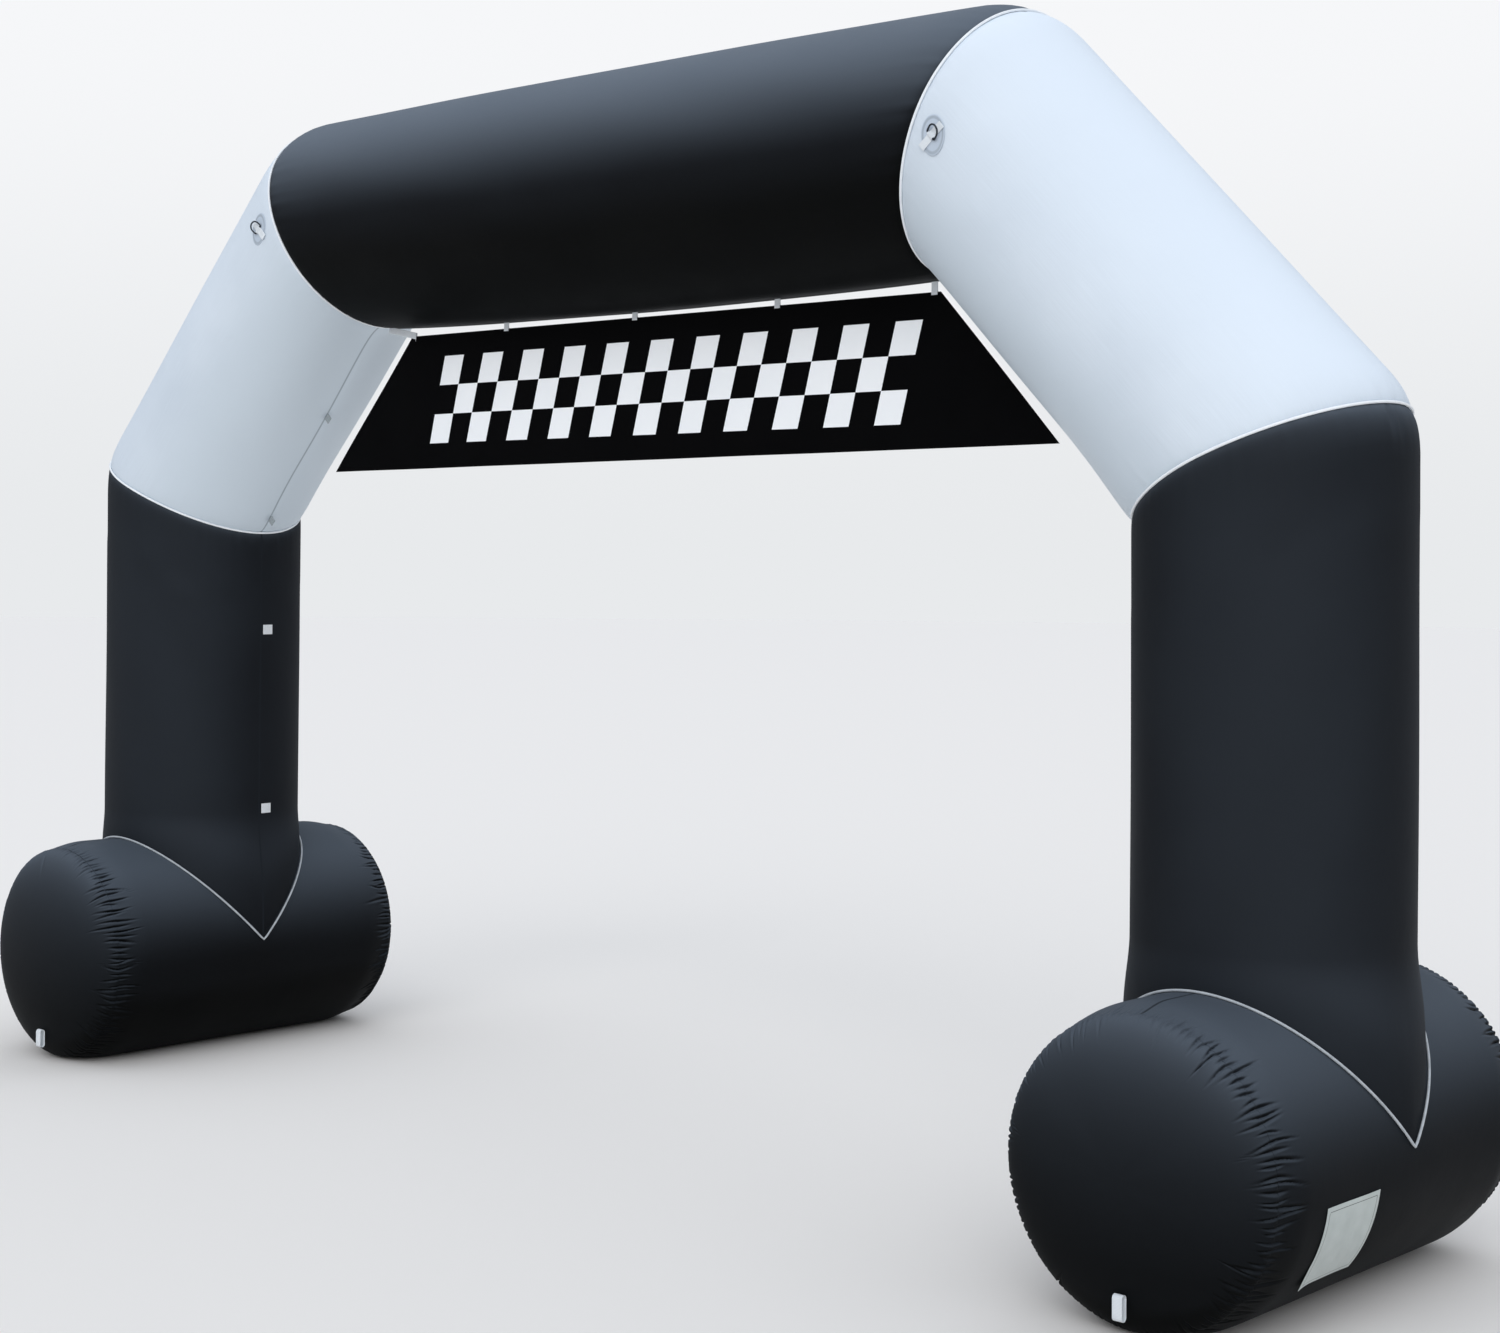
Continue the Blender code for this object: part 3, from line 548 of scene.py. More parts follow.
def round_cord(name, points, radius):
    """A closed ring of round cord or wire along points."""
    bare()
    bpy.ops.mesh.primitive_circle_add(vertices=len(points), radius=1.0)
    ring = bpy.context.object
    ring.name = name
    ring.data.vertices.foreach_set("co", np.asarray(points, float).ravel())
    bpy.ops.object.convert(target="CURVE")
    line = bpy.context.object
    line.data.splines[0].use_cyclic_u = True
    line.data.bevel_depth = radius
    line.data.bevel_resolution = 4
    bpy.ops.object.convert(target="MESH")
    made = bpy.context.object
    made.name = made.data.name = name
    in_edit(merge, face_out)
    return made


def ribbon(name, path, across, width, thickness, columns=4):
    """A flat strap that follows a path, its width along one direction, its UV map in metres."""
    path = np.asarray(path, float)
    across = np.asarray(across, float) / np.linalg.norm(across)
    steps = np.linalg.norm(np.diff(path, axis=0), axis=1)
    run = np.concatenate(((0.0,), np.cumsum(steps)))
    count = len(path) - 1

    def place(u, v):
        here = np.stack([np.interp(v * count, range(count + 1), path[:, k]) for k in range(3)], axis=1)
        return here + across * ((u - 0.5) * width)[:, None]

    strap = cut_cloth(name, columns, count, place, (width, run[-1]))
    return thicken(strap, thickness, thickness * 0.3)


# ---------------------------------------------------------------- shapes


def unit(vector):
    """The same direction, one metre long."""
    vector = np.asarray(vector, float)
    return vector / np.linalg.norm(vector)


class Tube:
    """A straight tube of cloth between two mitred seams.

    Its angle 0 is the outer spine, and pi the inner one. sag lowers its middle, pinch draws in its inner
    side below its end, and the dips lower the inner side of a seam.
    """

    def __init__(self, start, end, outward, before, after, start_r, middle_r, end_r):
        self.start, self.end = np.array(start, float), np.array(end, float)
        self.axis = unit(self.end - self.start)
        self.outward = unit(outward)
        self.start_r, self.middle_r, self.end_r = start_r, middle_r, end_r
        self.length = np.linalg.norm(self.end - self.start)
        self.start_cut = unit(self.axis + before) if before is not None else self.axis
        self.end_cut = unit(self.axis + after) if after is not None else self.axis
        self.sag = self.pinch = self.start_dip = self.end_dip = 0.0

    def ends(self, spoke, lift):
        """Where the skin line of each spoke meets the two seams, along the axis."""
        places = []
        for radius, cut, at in (
            (self.start_r, self.start_cut, GAP / 2),
            (self.end_r, self.end_cut, self.length - GAP / 2),
        ):
            skin = radius - SEAM_TUCK + lift
            places.append(at - skin * (spoke @ cut) / (self.axis @ cut))
        return places

    def spoke(self, angle):
        """The direction from the axis to the skin."""
        angle = np.asarray(angle, float)[..., None]
        return self.outward * np.cos(angle) + ACROSS * np.sin(angle)

    def skin(self, angle, near=None, far=None, share=None, lift=0.0, swell=0.0):
        """Points of the skin, by distance from a seam or by share of the length between the seams."""
        spoke = self.spoke(angle)
        low, high = self.ends(spoke, lift)
        full = high - low
        if share is not None:
            near = share * full
        elif near is None:
            near = full - far
        far = full - near
        part = np.clip(near / full, 0.0, 1.0)
        bulge = self.middle_r - (self.start_r + self.end_r) / 2
        radius = self.start_r + (self.end_r - self.start_r) * part + bulge * np.sin(pi * part) ** 0.5
        radius = radius - SEAM_TUCK * np.exp(-np.minimum(near, far) / SEAM_FADE) + lift + swell
        point = self.start + self.axis * (low + near)[..., None] + spoke * radius[..., None]
        inner = np.clip(-np.cos(angle), 0.0, None)
        seams = ((near, self.start_cut, self.start_dip), (far, self.end_cut, self.end_dip))
        for distance, cut, dip in seams:
            point = point - self.corner(cut, distance, angle)
            point[..., 2] -= dip * inner**2 * np.exp(-((distance / DIP_REACH) ** 2))
        drawn = self.pinch * inner * (1 - np.exp(-far / PINCH_START)) * np.exp(-((far / PINCH_REACH) ** 2))
        drop = self.sag * np.sqrt(np.sin(pi * part))
        return point + self.outward * (drawn - drop)[..., None]

    def corner(self, cut, distance, angle):
        """The draw-in that rounds a bend's outer side, largest at the seam."""
        bend = abs(self.outward @ cut)
        if bend < 0.01:
            return 0.0
        reach = CORNER_ROUND * bend / sqrt(1 - bend * bend)
        depth = np.clip(reach - distance, 0.0, None) ** 2 / (2 * CORNER_ROUND)
        in_plane = unit(self.outward - cut * (self.outward @ cut))
        return in_plane * (np.clip(np.cos(angle), 0.0, None) * depth)[..., None]


def axes(side):
    """Directions along a leg, up its shoulder and in along the beam."""
    up = np.array((0.0, 0.0, 1.0))
    slope = unit((side * (BEAM_HALF - HALF_SPAN), 0, BEAM_Z - SHOULDER_Z))
    return up, slope, np.array((-side, 0.0, 0.0))


def shoulder_tube(side):
    """The sloping white tube between a leg and the beam."""
    up, slope, inwards = axes(side)
    low, high = (side * HALF_SPAN, 0, SHOULDER_Z), (side * BEAM_HALF, 0, BEAM_Z)
    outward = (side * slope[2], 0, -side * slope[0])
    tube = Tube(low, high, outward, up, inwards, LOW_JOINT_R, SHOULDER_R, HIGH_JOINT_R)
    tube.start_dip, tube.pinch = INNER_DIP, PINCH[side]
    return tube


def leg_tube(side):
    """A leg's straight stretch, from the floor's height to its shoulder."""
    slope = axes(side)[1]
    low, high = (side * HALF_SPAN, 0, 0), (side * HALF_SPAN, 0, SHOULDER_Z)
    tube = Tube(low, high, (side, 0, 0), None, slope, LEG_R, LEG_R, LOW_JOINT_R)
    tube.end_dip = INNER_DIP
    return tube


def beam_tube():
    """The straight black tube on top."""
    left, right = axes(-1)[1], axes(1)[1]
    low, high = (-BEAM_HALF, 0, BEAM_Z), (BEAM_HALF, 0, BEAM_Z)
    tube = Tube(low, high, (0, 0, 1), left, -right, HIGH_JOINT_R, BEAM_R, HIGH_JOINT_R)
    tube.sag = BEAM_SAG
    return tube


class Folds:
    """Uneven folds that cross or leave a seam, as sunken lines in the cloth on both sides of it.

    A distance from the seam is positive on one side of it and negative on the other. Each fold has a
    length, a depth, a width, a slant and a bend of its own, and the cloth beside it stands up a little.
    """

    def __init__(self, turns, half, depth, width, seed, shift=0.0):
        """Folds at the given turns round a seam, with their usual half length, depth and width."""
        rng = np.random.default_rng(seed)
        count = len(turns)
        pitch = 2 * pi / max(count, 8)
        self.turn = np.asarray(turns) + rng.uniform(-0.26, 0.26, count) * pitch
        self.half = half * rng.uniform(0.5, 1.5, count)
        self.middle = shift + self.half * rng.uniform(-0.35, 0.35, count)
        self.depth = np.broadcast_to(depth, (count,)) * rng.uniform(0.7, 1.25, count)
        self.width = width * rng.uniform(0.75, 1.35, count)
        self.slant = rng.normal(0.0, 0.09, count)
        self.bend = rng.normal(0.0, 2.2, count)

    def __call__(self, angle, away, radius):
        """How far the folds move the cloth outwards at each point."""
        height = np.zeros_like(angle)
        near = np.abs(away) < (np.abs(self.middle) + self.half).max()
        angle, away = angle[near], away[near]
        found = np.zeros_like(angle)
        for turn, half, middle, depth, width, slant, bend in zip(
            self.turn, self.half, self.middle, self.depth, self.width, self.slant, self.bend
        ):
            across = (angle - turn + pi) % (2 * pi) - pi
            across = across * radius - slant * away - bend * away * away
            run = np.clip(1 - ((away - middle) / half) ** 2, 0.0, 1.0)
            narrow = width * (0.55 + 0.45 * run)
            groove = np.exp(-((across / narrow) ** 2))
            crest = np.exp(-((across / narrow / CREST_SPREAD) ** 2))
            found -= depth * run * (groove - CREST_SHARE * crest)
        height[near] = found
        return height


def slack(angle, along, seed, size=0.0008):
    """The slow unevenness of a blown-up tube, longer along it than round it."""
    rng = np.random.default_rng(seed)
    height = np.zeros_like(angle)
    for _ in range(SLACK_WAVES):
        turns, waves = rng.integers(2, 11), rng.uniform(0.2, 1.6)
        height += np.sin(turns * angle + rng.uniform(0, 2 * pi) + 2 * pi * waves * along) / sqrt(turns)
    return height * size / 1.6


def ripples(angle, away, seed, size=0.0007, reach=0.07):
    """Fine unevenness that a line of stitches leaves beside it."""
    rng = np.random.default_rng(seed)
    height = np.zeros_like(angle)
    for turns in (37, 53, 71, 97):
        height += np.sin(turns * angle + rng.uniform(0, 2 * pi)) * rng.uniform(0.5, 1.0)
    return height * size / 1.5 * np.exp(-away / reach) * (1 - np.exp(-away / 0.004))


def angle_of(u):
    """The panel's two long edges meet at the inner spine."""
    return pi + 2 * pi * u


def spine_mark(around):
    """Marks each point with its distance from the panel's long seam, for a cloth of the given width."""

    def marks(u, v):
        return {"seam": np.minimum(u, 1 - u) * around}

    return marks


def close_tube(panel, material, node, smooth):
    """Close a rolled panel into a tube full of air, and finish it."""
    in_edit(merge, close_ends, face_out)
    return sew(panel, material, node, smooth)


# ---------------------------------------------------------------- tubes


def make_tube(node, tube, material, seed, corner_folds):
    """A beam or shoulder tube: one panel rolled round it, sewn along its inner spine."""
    reach = TUBE_NEAR[-1]
    rows = [(near, 0.0, 0.0) for near in TUBE_NEAR]
    rows += [(0.0, 0.0, k / TUBE_MIDDLE) for k in range(1, TUBE_MIDDLE)]
    rows += [(0.0, far, 1.0) for far in reversed(TUBE_NEAR)]
    rows = np.array(rows)
    around = 2 * pi * tube.middle_r
    folds = [
        Folds(turns, 0.05, 0.0035, 0.008, seed + 7 * end, 0.02) for end, turns in enumerate(corner_folds)
    ]

    def place(u, v):
        angle = angle_of(u)
        low, high = tube.ends(tube.spoke(angle), 0.0)
        full = high - low
        from_start, from_end, share = rows[np.rint(v * (len(rows) - 1)).astype(int)].T
        near = reach + (full - 2 * reach) * share
        near = np.where(share <= 0.0, from_start, np.where(share >= 1.0, full - from_end, near))
        swell = slack(angle, near, seed)
        for end, away in enumerate((near, full - near)):
            swell = swell + ripples(angle, away, seed + 3 + end)
            swell = swell + folds[end](angle, away, tube.middle_r)
        seam = np.minimum(u, 1 - u) * around
        swell = swell - SPINE_DEPTH * np.exp(-((seam / SPINE_WIDTH) ** 2))
        return tube.skin(angle, near=near, swell=swell)

    size = (around, tube.length)
    panel = cut_cloth(f"cloth_{node}", TUBE_ACROSS, len(rows) - 1, place, size, spine_mark(around))
    return close_tube(panel, material, node, 35)


def saddle_point(side, angle):
    """The seam of a leg on its foot: a V on each side, up to the foot's top in front and behind."""
    y = SADDLE_HALF_Y * np.sin(angle)
    rise = SADDLE_TIP + np.abs(np.sin(angle)) * (FOOT_R - SADDLE_TIP)
    x = np.sqrt(np.clip(FOOT_R**2 - rise**2, 0.0, None)) * np.where(np.cos(angle) > 0, 1.0, -1.0)
    return np.stack((side * (HALF_SPAN + x), y, FOOT_Z + rise), axis=-1)


def flare_point(side, angle, share):
    """A leg's widening foot end: share runs from its top, 0, down to the seam, 1."""
    x, y = side * (HALF_SPAN + LEG_R * np.cos(angle)), LEG_R * np.sin(angle)
    high = np.stack((x, y, np.full_like(angle, FLARE_TOP)), axis=-1)
    low = saddle_point(side, angle)
    ease = share * share * (3 - 2 * share)
    point = high + (low - high) * ease[..., None]
    point[..., 2] = high[..., 2] + (low[..., 2] - high[..., 2]) * share
    point[..., 0] += side * FLARE_PILLOW * np.cos(angle) ** 3 * np.sin(pi * ease)
    return point


def under_leg(side, angle, share):
    """The hidden underside of a leg, on its foot: share runs from the seam, 0, to the foot's crown, 1."""
    edge = saddle_point(side, angle)
    x = (edge[..., 0] - side * HALF_SPAN) * (1 - share)
    rest = FOOT_R + GAP
    z = FOOT_Z + np.sqrt(np.clip(rest**2 - x**2, 0.0, None))
    return np.stack((side * HALF_SPAN + x, edge[..., 1], z), axis=-1)


def make_leg(word, side):
    """A leg: a straight tube under its shoulder that widens to a saddle on its foot."""
    tube = leg_tube(side)
    seed = 40 + side
    rows = [("top", d) for d in TUBE_NEAR] + [("straight", k / LEG_MIDDLE) for k in range(1, LEG_MIDDLE)]
    rows += [("flare", share) for share in FLARE_ROWS] + [("under", share) for share in UNDER_ROWS]
    outer = Folds([-0.30, -0.12, 0.05, 0.22, 0.41], 0.06, 0.0045, 0.009, seed, 0.03)
    inner = Folds([pi - 0.35, pi - 0.1, pi + 0.12, pi + 0.3], 0.04, 0.0025, 0.007, seed + 1, 0.02)

    def top(turn, value):
        away = np.full_like(turn, value)
        swell = slack(turn, away, seed) + ripples(turn, away, seed + 3)
        swell = swell + outer(turn, away, LEG_R) + inner(turn, away, LEG_R)
        return tube.skin(turn, far=away, swell=swell)

    def straight(turn, value):
        first = tube.skin(turn, far=np.full_like(turn, TUBE_NEAR[-1]))
        z = first[:, 2] + (FLARE_TOP - first[:, 2]) * value
        radius = np.hypot(first[:, 0] - side * HALF_SPAN, first[:, 1])
        radius = radius + (LEG_R - radius) * value + slack(turn, LEG_CLOTH - z, seed)
        return np.stack((side * (HALF_SPAN + radius * np.cos(turn)), radius * np.sin(turn), z), axis=-1)

    def flare(turn, value):
        share = np.full_like(turn, value)
        point = flare_point(side, turn, share)
        swell = slack(turn, LEG_CLOTH - point[:, 2], seed) * (1 - share)
        point[:, 0] += side * np.cos(turn) * swell
        point[:, 1] += np.sin(turn) * swell
        return point

    def under(turn, value):
        return under_leg(side, turn, value)

    parts = {"top": top, "straight": straight, "flare": flare, "under": under}

    def place(u, v):
        row = np.rint(v * (len(rows) - 1)).astype(int)
        points = np.empty((len(u), 3))
        for index, (part, value) in enumerate(rows):
            here = row == index
            points[here] = parts[part](angle_of(u)[here], value)
        return points

    around = 2 * pi * LEG_R
    size = (around, LEG_CLOTH)
    panel = cut_cloth(f"cloth_leg_tube_{word}", TUBE_ACROSS, len(rows) - 1, place, size, spine_mark(around))
    return close_tube(panel, BLACK_OXFORD, f"leg_tube_{word}", 50)


def on_floor(z):
    """Press the cloth flat where it would pass through the floor."""
    return 0.5 * (z + np.sqrt(z * z + FLOOR_EASE**2))


def neck_radius(away):
    """A foot tube's radius at a distance from its seam."""
    share = np.clip(away / FOOT_NECK, 0.0, 1.0)
    return FOOT_SEAM_R + (FOOT_R - FOOT_SEAM_R) * np.sin(share * pi / 2) ** 1.3


def gathers(side, end):
    """The folds that one foot seam draws in: strong beside it, faint on top and soft below."""
    turns = np.arange(GATHER_COUNT) * 2 * pi / GATHER_COUNT
    beside = np.abs(np.cos(turns)) ** 0.6
    depth = GATHER_DEPTH * (0.32 + 0.68 * beside)
    return Folds(turns, GATHER_HALF * (0.65 + 0.5 * beside), depth, GATHER_WIDTH, 300 + side + 10 * end)


def stitched(away):
    """How freely the cloth folds at a distance from its seam."""
    return 1 - 0.45 * np.exp(-np.abs(away) / SEAM_HOLD)


def seam_wave(angle):
    """The seam's own small waves, the same for the two pieces that it joins."""
    return 0.0006 * np.sin(GATHER_COUNT * angle) + 0.0007 * np.sin(61 * angle + 1.0)


def make_foot(word, side):
    """A foot tube, drawn in to its two end seams and pressed flat on the floor."""
    folds = {end: gathers(side, end) for end in (-1, 1)}
    half = FOOT_SEAM_Y - GAP / 2
    ys = [-half + near for near in FOOT_NEAR]
    ys += [(-half + FOOT_NEAR[-1]) * (1 - 2 * k / FOOT_MIDDLE) for k in range(1, FOOT_MIDDLE)]
    ys += [half - near for near in reversed(FOOT_NEAR)]

    def place(u, v):
        angle = angle_of(u) - pi / 2
        y = np.interp(v * (len(ys) - 1), np.arange(len(ys)), ys)
        from_front, from_back = y + half, half - y
        away = np.minimum(from_front, from_back)
        radius = neck_radius(away) + slack(angle, y, 60 + side, 0.0007)
        for end, from_seam in ((-1, from_front), (1, from_back)):
            radius = radius + folds[end](angle, from_seam, FOOT_SEAM_R) * stitched(from_seam)
        radius = radius + seam_wave(angle) * np.exp(-away / SEAM_WAVE_FADE)
        x = side * HALF_SPAN + radius * np.cos(angle)
        return np.stack((x, y, on_floor(FOOT_Z + radius * np.sin(angle))), axis=-1)

    around = 2 * pi * FOOT_R
    size = (around, 2 * half)
    panel = cut_cloth(f"cloth_foot_tube_{word}", FOOT_ACROSS, len(ys) - 1, place, size, spine_mark(around))
    return close_tube(panel, BLACK_OXFORD, f"foot_tube_{word}", 50)


def dome_steps():
    """Depth and radius of the end cap's dome at each row, measured along the cloth from its seam."""
    fine = np.linspace(0.0, pi / 2, 721)
    depth, radius = CAP_DEPTH * np.sin(fine), FOOT_SEAM_R * np.cos(fine)
    run = np.concatenate(((0.0,), np.cumsum(np.hypot(np.diff(depth), np.diff(radius)))))
    rows = np.array([d for d in CAP_ROWS if d < run[-1] - 0.01] + [run[-1]])
    return rows, np.interp(rows, run, depth), np.interp(rows, run, radius)


def make_cap(word, side, place_word, end):
    """An end cap: a shallow dome, gathered at its seam. Each front one has a crease across its top."""
    folds = gathers(side, end)
    rows, depths, radii = dome_steps()
    last = len(rows) - 1
    crease_depth = CREASE_DEPTH if end < 0 else 0.0
    crease_turn = pi / 2 - CREASE_TURN * side

    def place(u, v):
        angle = angle_of(u) - pi / 2
        away, depth, radius = (np.interp(v * last, np.arange(last + 1), d) for d in (rows, depths, radii))
        inner = np.clip(radius / FOOT_SEAM_R, 0.0, 1.0)
        out = np.sqrt(np.clip(1 - inner**2, 0.0, 1.0))
        lift = folds(angle, -away, FOOT_SEAM_R) * stitched(away)
        lift = lift + seam_wave(angle) * np.exp(-away / SEAM_WAVE_FADE)
        lift = lift + slack(angle, away, 80 + side + end, 0.0007) * inner
        across = (angle - crease_turn + 0.9 * away) * FOOT_SEAM_R
        crease = np.exp(-((across / 0.006) ** 2)) * np.exp(-(((away - 0.05) / 0.04) ** 2))
        lift = lift - crease_depth * crease
        radius = radius + lift * inner
        depth = depth + lift * out
        x = side * HALF_SPAN + radius * np.cos(angle)
        y = end * (FOOT_SEAM_Y + GAP / 2 + depth)
        return np.stack((x, y, FOOT_Z + radius * np.sin(angle)), axis=-1)

    def marks(u, v):
        return {"seam": np.ones_like(u)}

    node = f"foot_cap_{word}_{place_word}"
    panel = cut_cloth(f"cloth_{node}", FOOT_ACROSS, last, place, (2 * pi * FOOT_SEAM_R, rows[-1]), marks)
    return close_tube(panel, BLACK_OXFORD, node, 50)


# ---------------------------------------------------------------- beads


def make_elbow_bead(word, which, tube):
    """The bead in a shoulder's lower or upper seam."""
    lift = PIPING_R + PIPING_LIFT
    turns = np.linspace(0, 2 * pi, 240, endpoint=False)
    seam = np.zeros_like(turns)
    if which == "lower":
        points = tube.skin(turns, near=seam, lift=lift) - tube.axis * GAP / 2
    else:
        points = tube.skin(turns, far=seam, lift=lift) + tube.axis * GAP / 2
    bead = round_cord(f"bead_{which}_{word}", points, PIPING_R)
    return sew(bead, PIPING_WHITE, f"piping_{which}_{word}", 60)


def make_saddle_bead(word, side):
    """The bead round a leg's seam on its foot, just outside the leg."""
    turns = np.linspace(0, 2 * pi, 320, endpoint=False)
    here = saddle_point(side, turns)
    along = np.roll(here, -1, axis=0) - np.roll(here, 1, axis=0)
    normal = here - np.array((side * HALF_SPAN, 0.0, FOOT_Z))
    normal[:, 1] = 0.0
    normal /= np.linalg.norm(normal, axis=1)[:, None]
    away = np.cross(normal, along)
    away /= np.linalg.norm(away, axis=1)[:, None]
    outer = np.stack((np.zeros(len(turns)), here[:, 1], here[:, 2] - FOOT_Z - FOOT_R), axis=-1)
    away *= np.where((away * outer).sum(axis=1) < 0, -1.0, 1.0)[:, None]
    points = here + normal * (PIPING_R + PIPING_LIFT) + away * (PIPING_R + PIPING_SHIFT)
    bead = round_cord(f"bead_saddle_{word}", points, PIPING_R * SADDLE_BEAD_SHARE)
    return sew(bead, PIPING_GREY, f"piping_saddle_{word}", 60)


# ---------------------------------------------------------------- banner


def make_banner():
    """The flag: one trapezoid of cloth that hangs from its ties, its foot in slow waves."""
    height = BANNER_TOP_Z - BANNER_BOTTOM_Z

    def place(u, v):
        half = BANNER_BOTTOM_HALF + (BANNER_TOP_HALF - BANNER_BOTTOM_HALF) * v
        x = (2 * u - 1) * half
        hang = 1 - v
        z = BANNER_BOTTOM_Z + height * v - BANNER_DROOP * (1 - u) * hang
        wave = BANNER_WAVE * np.sin(2 * pi * x / 0.55 + 0.6) * hang**0.7
        sway = BANNER_SWAY * np.sin(2 * pi * x / 0.91 + 2.1 + 2.0 * v) * hang
        return np.stack((x + BANNER_SHIFT, wave + sway, z), axis=-1)

    sheet = cut_cloth("flag_banner", BANNER_ACROSS, BANNER_UP, place, (1.0, 1.0))
    lay_map(sheet.data, points_of(sheet.data)[:, (0, 2)])
    thicken(sheet, BANNER_THICK)
    sew(sheet, BANNER_PRINT, "banner", 30)


def join(name, pieces):
    """Make one piece of several."""
    bare()
    for piece in pieces:
        piece.select_set(True)
    bpy.context.view_layer.objects.active = pieces[0]
    bpy.ops.object.join()
    pieces[0].name = pieces[0].data.name = name
    return pieces[0]


def make_tie(number, x, top_x):
    """A tape folded over the banner's hem, its two halves together from there up to the beam."""
    high = beam.skin(np.array([pi]), share=np.array([0.5 + top_x / (2 * BEAM_HALF)]), lift=-GAP)[0][2]
    hem = BANNER_TOP_Z + GAP
    flush = 0.0008  # from the middle of a tape to where the halves meet, with their gap
    apart = BANNER_THICK / 2 + GAP
    rise = np.array((top_x - x, 0.0, high - hem))
    across = np.cross(rise, ACROSS)
    halves = []
    for face in (-1, 1):
        path = [(x, face * (flush + apart), z) for z in np.linspace(hem - TIE_GRIP, hem, 5)]
        for share in np.linspace(0.1, 1.0, 9):
            y = face * (flush + apart * max(0.0, 1 - 3 * share) ** 2)
            path.append((x + rise[0] * share, y, hem + rise[2] * share))
        halves.append(ribbon(f"half_{face}", path, across, TIE_WIDTH, TIE_THICK))
    tie = join(f"tie_{number}", halves)
    return sew(tie, WEBBING_WHITE, f"banner_tie_{number}", 40)


# ---------------------------------------------------------------- fittings


def make_seam_tab(word, side, number, height):
    """A tape folded double and sewn in a shoulder's inner seam."""
    tube = shoulder_tube(side)
    low, high = tube.skin(np.array([pi]), share=0.0)[0], tube.skin(np.array([pi]), share=1.0)[0]
    share = (height - low[2]) / (high[2] - low[2])
    foot = tube.skin(np.array([pi]), share=np.array([share]), lift=GAP)[0]
    out = -tube.outward
    turn = np.cross(tube.axis, out)
    tip = TAB_SIZE - TAB_BEND
    path = [foot + out * s + turn * TAB_BEND for s in np.linspace(0.0, tip, 6)]
    for a in np.linspace(0.4, pi - 0.4, 5):
        path.append(foot + out * (tip + TAB_BEND * sin(a)) + turn * TAB_BEND * cos(a))
    path += [foot + out * s - turn * TAB_BEND for s in np.linspace(tip, 0.0, 6)]
    tab = ribbon(f"tab_{word}_{number}", path, tube.axis, TAB_WIDTH, TAB_THICK)
    return sew(tab, WEBBING_GREY, f"seam_tab_{word}_{number}", 40)


def patch_frame(side, face):
    """A guy ring's place on its patch, in front (-1) or behind (1), its strap's direction and outwards."""
    tube = shoulder_tube(side)
    angle = np.array([face * (pi / 2 - PATCH_UP / SHOULDER_R)])
    far = np.array([PATCH_ALONG])
    middle = tube.skin(angle, far=far, lift=PATCH_LIFT + PATCH_THICK + GAP)[0]
    out = unit(middle - tube.skin(angle, far=far)[0])
    level = np.array((side, 0.0, 0.0))
    level = unit(level - out * (level @ out))
    rise = np.cross(out, level)
    rise = rise if rise[2] > 0 else -rise
    run = unit(level * cos(STRAP_TURN) + rise * sin(STRAP_TURN))
    return middle - run * RING_SET_BACK, run, out


def make_patch(word, side, place_word, face):
    """The round cloth patch under a guy ring, with its stitched rim."""
    tube = shoulder_tube(side)
    middle = face * (pi / 2 - PATCH_UP / SHOULDER_R)

    def place(u, v):
        turn, reach = 2 * pi * u, PATCH_R * v
        x, y = reach * np.cos(turn), reach * np.sin(turn)
        rim = 0.0005 * np.exp(-(((reach - PATCH_R + 0.004) / 0.0015) ** 2))
        dish = 0.0004 * np.exp(-((reach / 0.02) ** 2))
        lift = PATCH_LIFT + PATCH_THICK / 2 + rim + dish
        return tube.skin(middle + y / SHOULDER_R, far=PATCH_ALONG + x, lift=lift)

    def marks(u, v):
        return {"seam": np.abs(v * PATCH_R - PATCH_R + 0.006)}

    patch = cut_cloth(f"patch_{word}_{place_word}", 72, 14, place, (0.13, PATCH_R), marks)
    in_edit(merge)
    thicken(patch, PATCH_THICK, 0.0004)
    in_edit(face_out)
    sew(patch, PATCH_OXFORD, f"ring_patch_{word}_{place_word}", 45)


def make_strap(word, side, place_word, face):
    """The strap that is sewn on a patch on both sides of its ring's bar, and passes over the bar."""
    middle, run, out = patch_frame(side, face)
    half = STRAP_LENGTH / 2
    centre = STRAP_FLOOR + RING_WIRE_R + GAP
    over = RING_WIRE_R + GAP + STRAP_THICK / 2
    flat = STRAP_THICK / 2
    path = [middle + run * s + out * flat for s in np.linspace(-half, -over - 0.004, 7)]
    for a in np.linspace(pi - 0.35, 0.35, 9):
        path.append(middle + run * over * cos(a) + out * (centre + over * sin(a)))
    path += [middle + run * s + out * flat for s in np.linspace(over + 0.004, half, 7)]
    strap = ribbon(f"strap_{word}_{place_word}", path, np.cross(out, run), STRAP_WIDTH, STRAP_THICK, 6)
    return sew(strap, WEBBING_WHITE, f"ring_strap_{word}_{place_word}", 40)


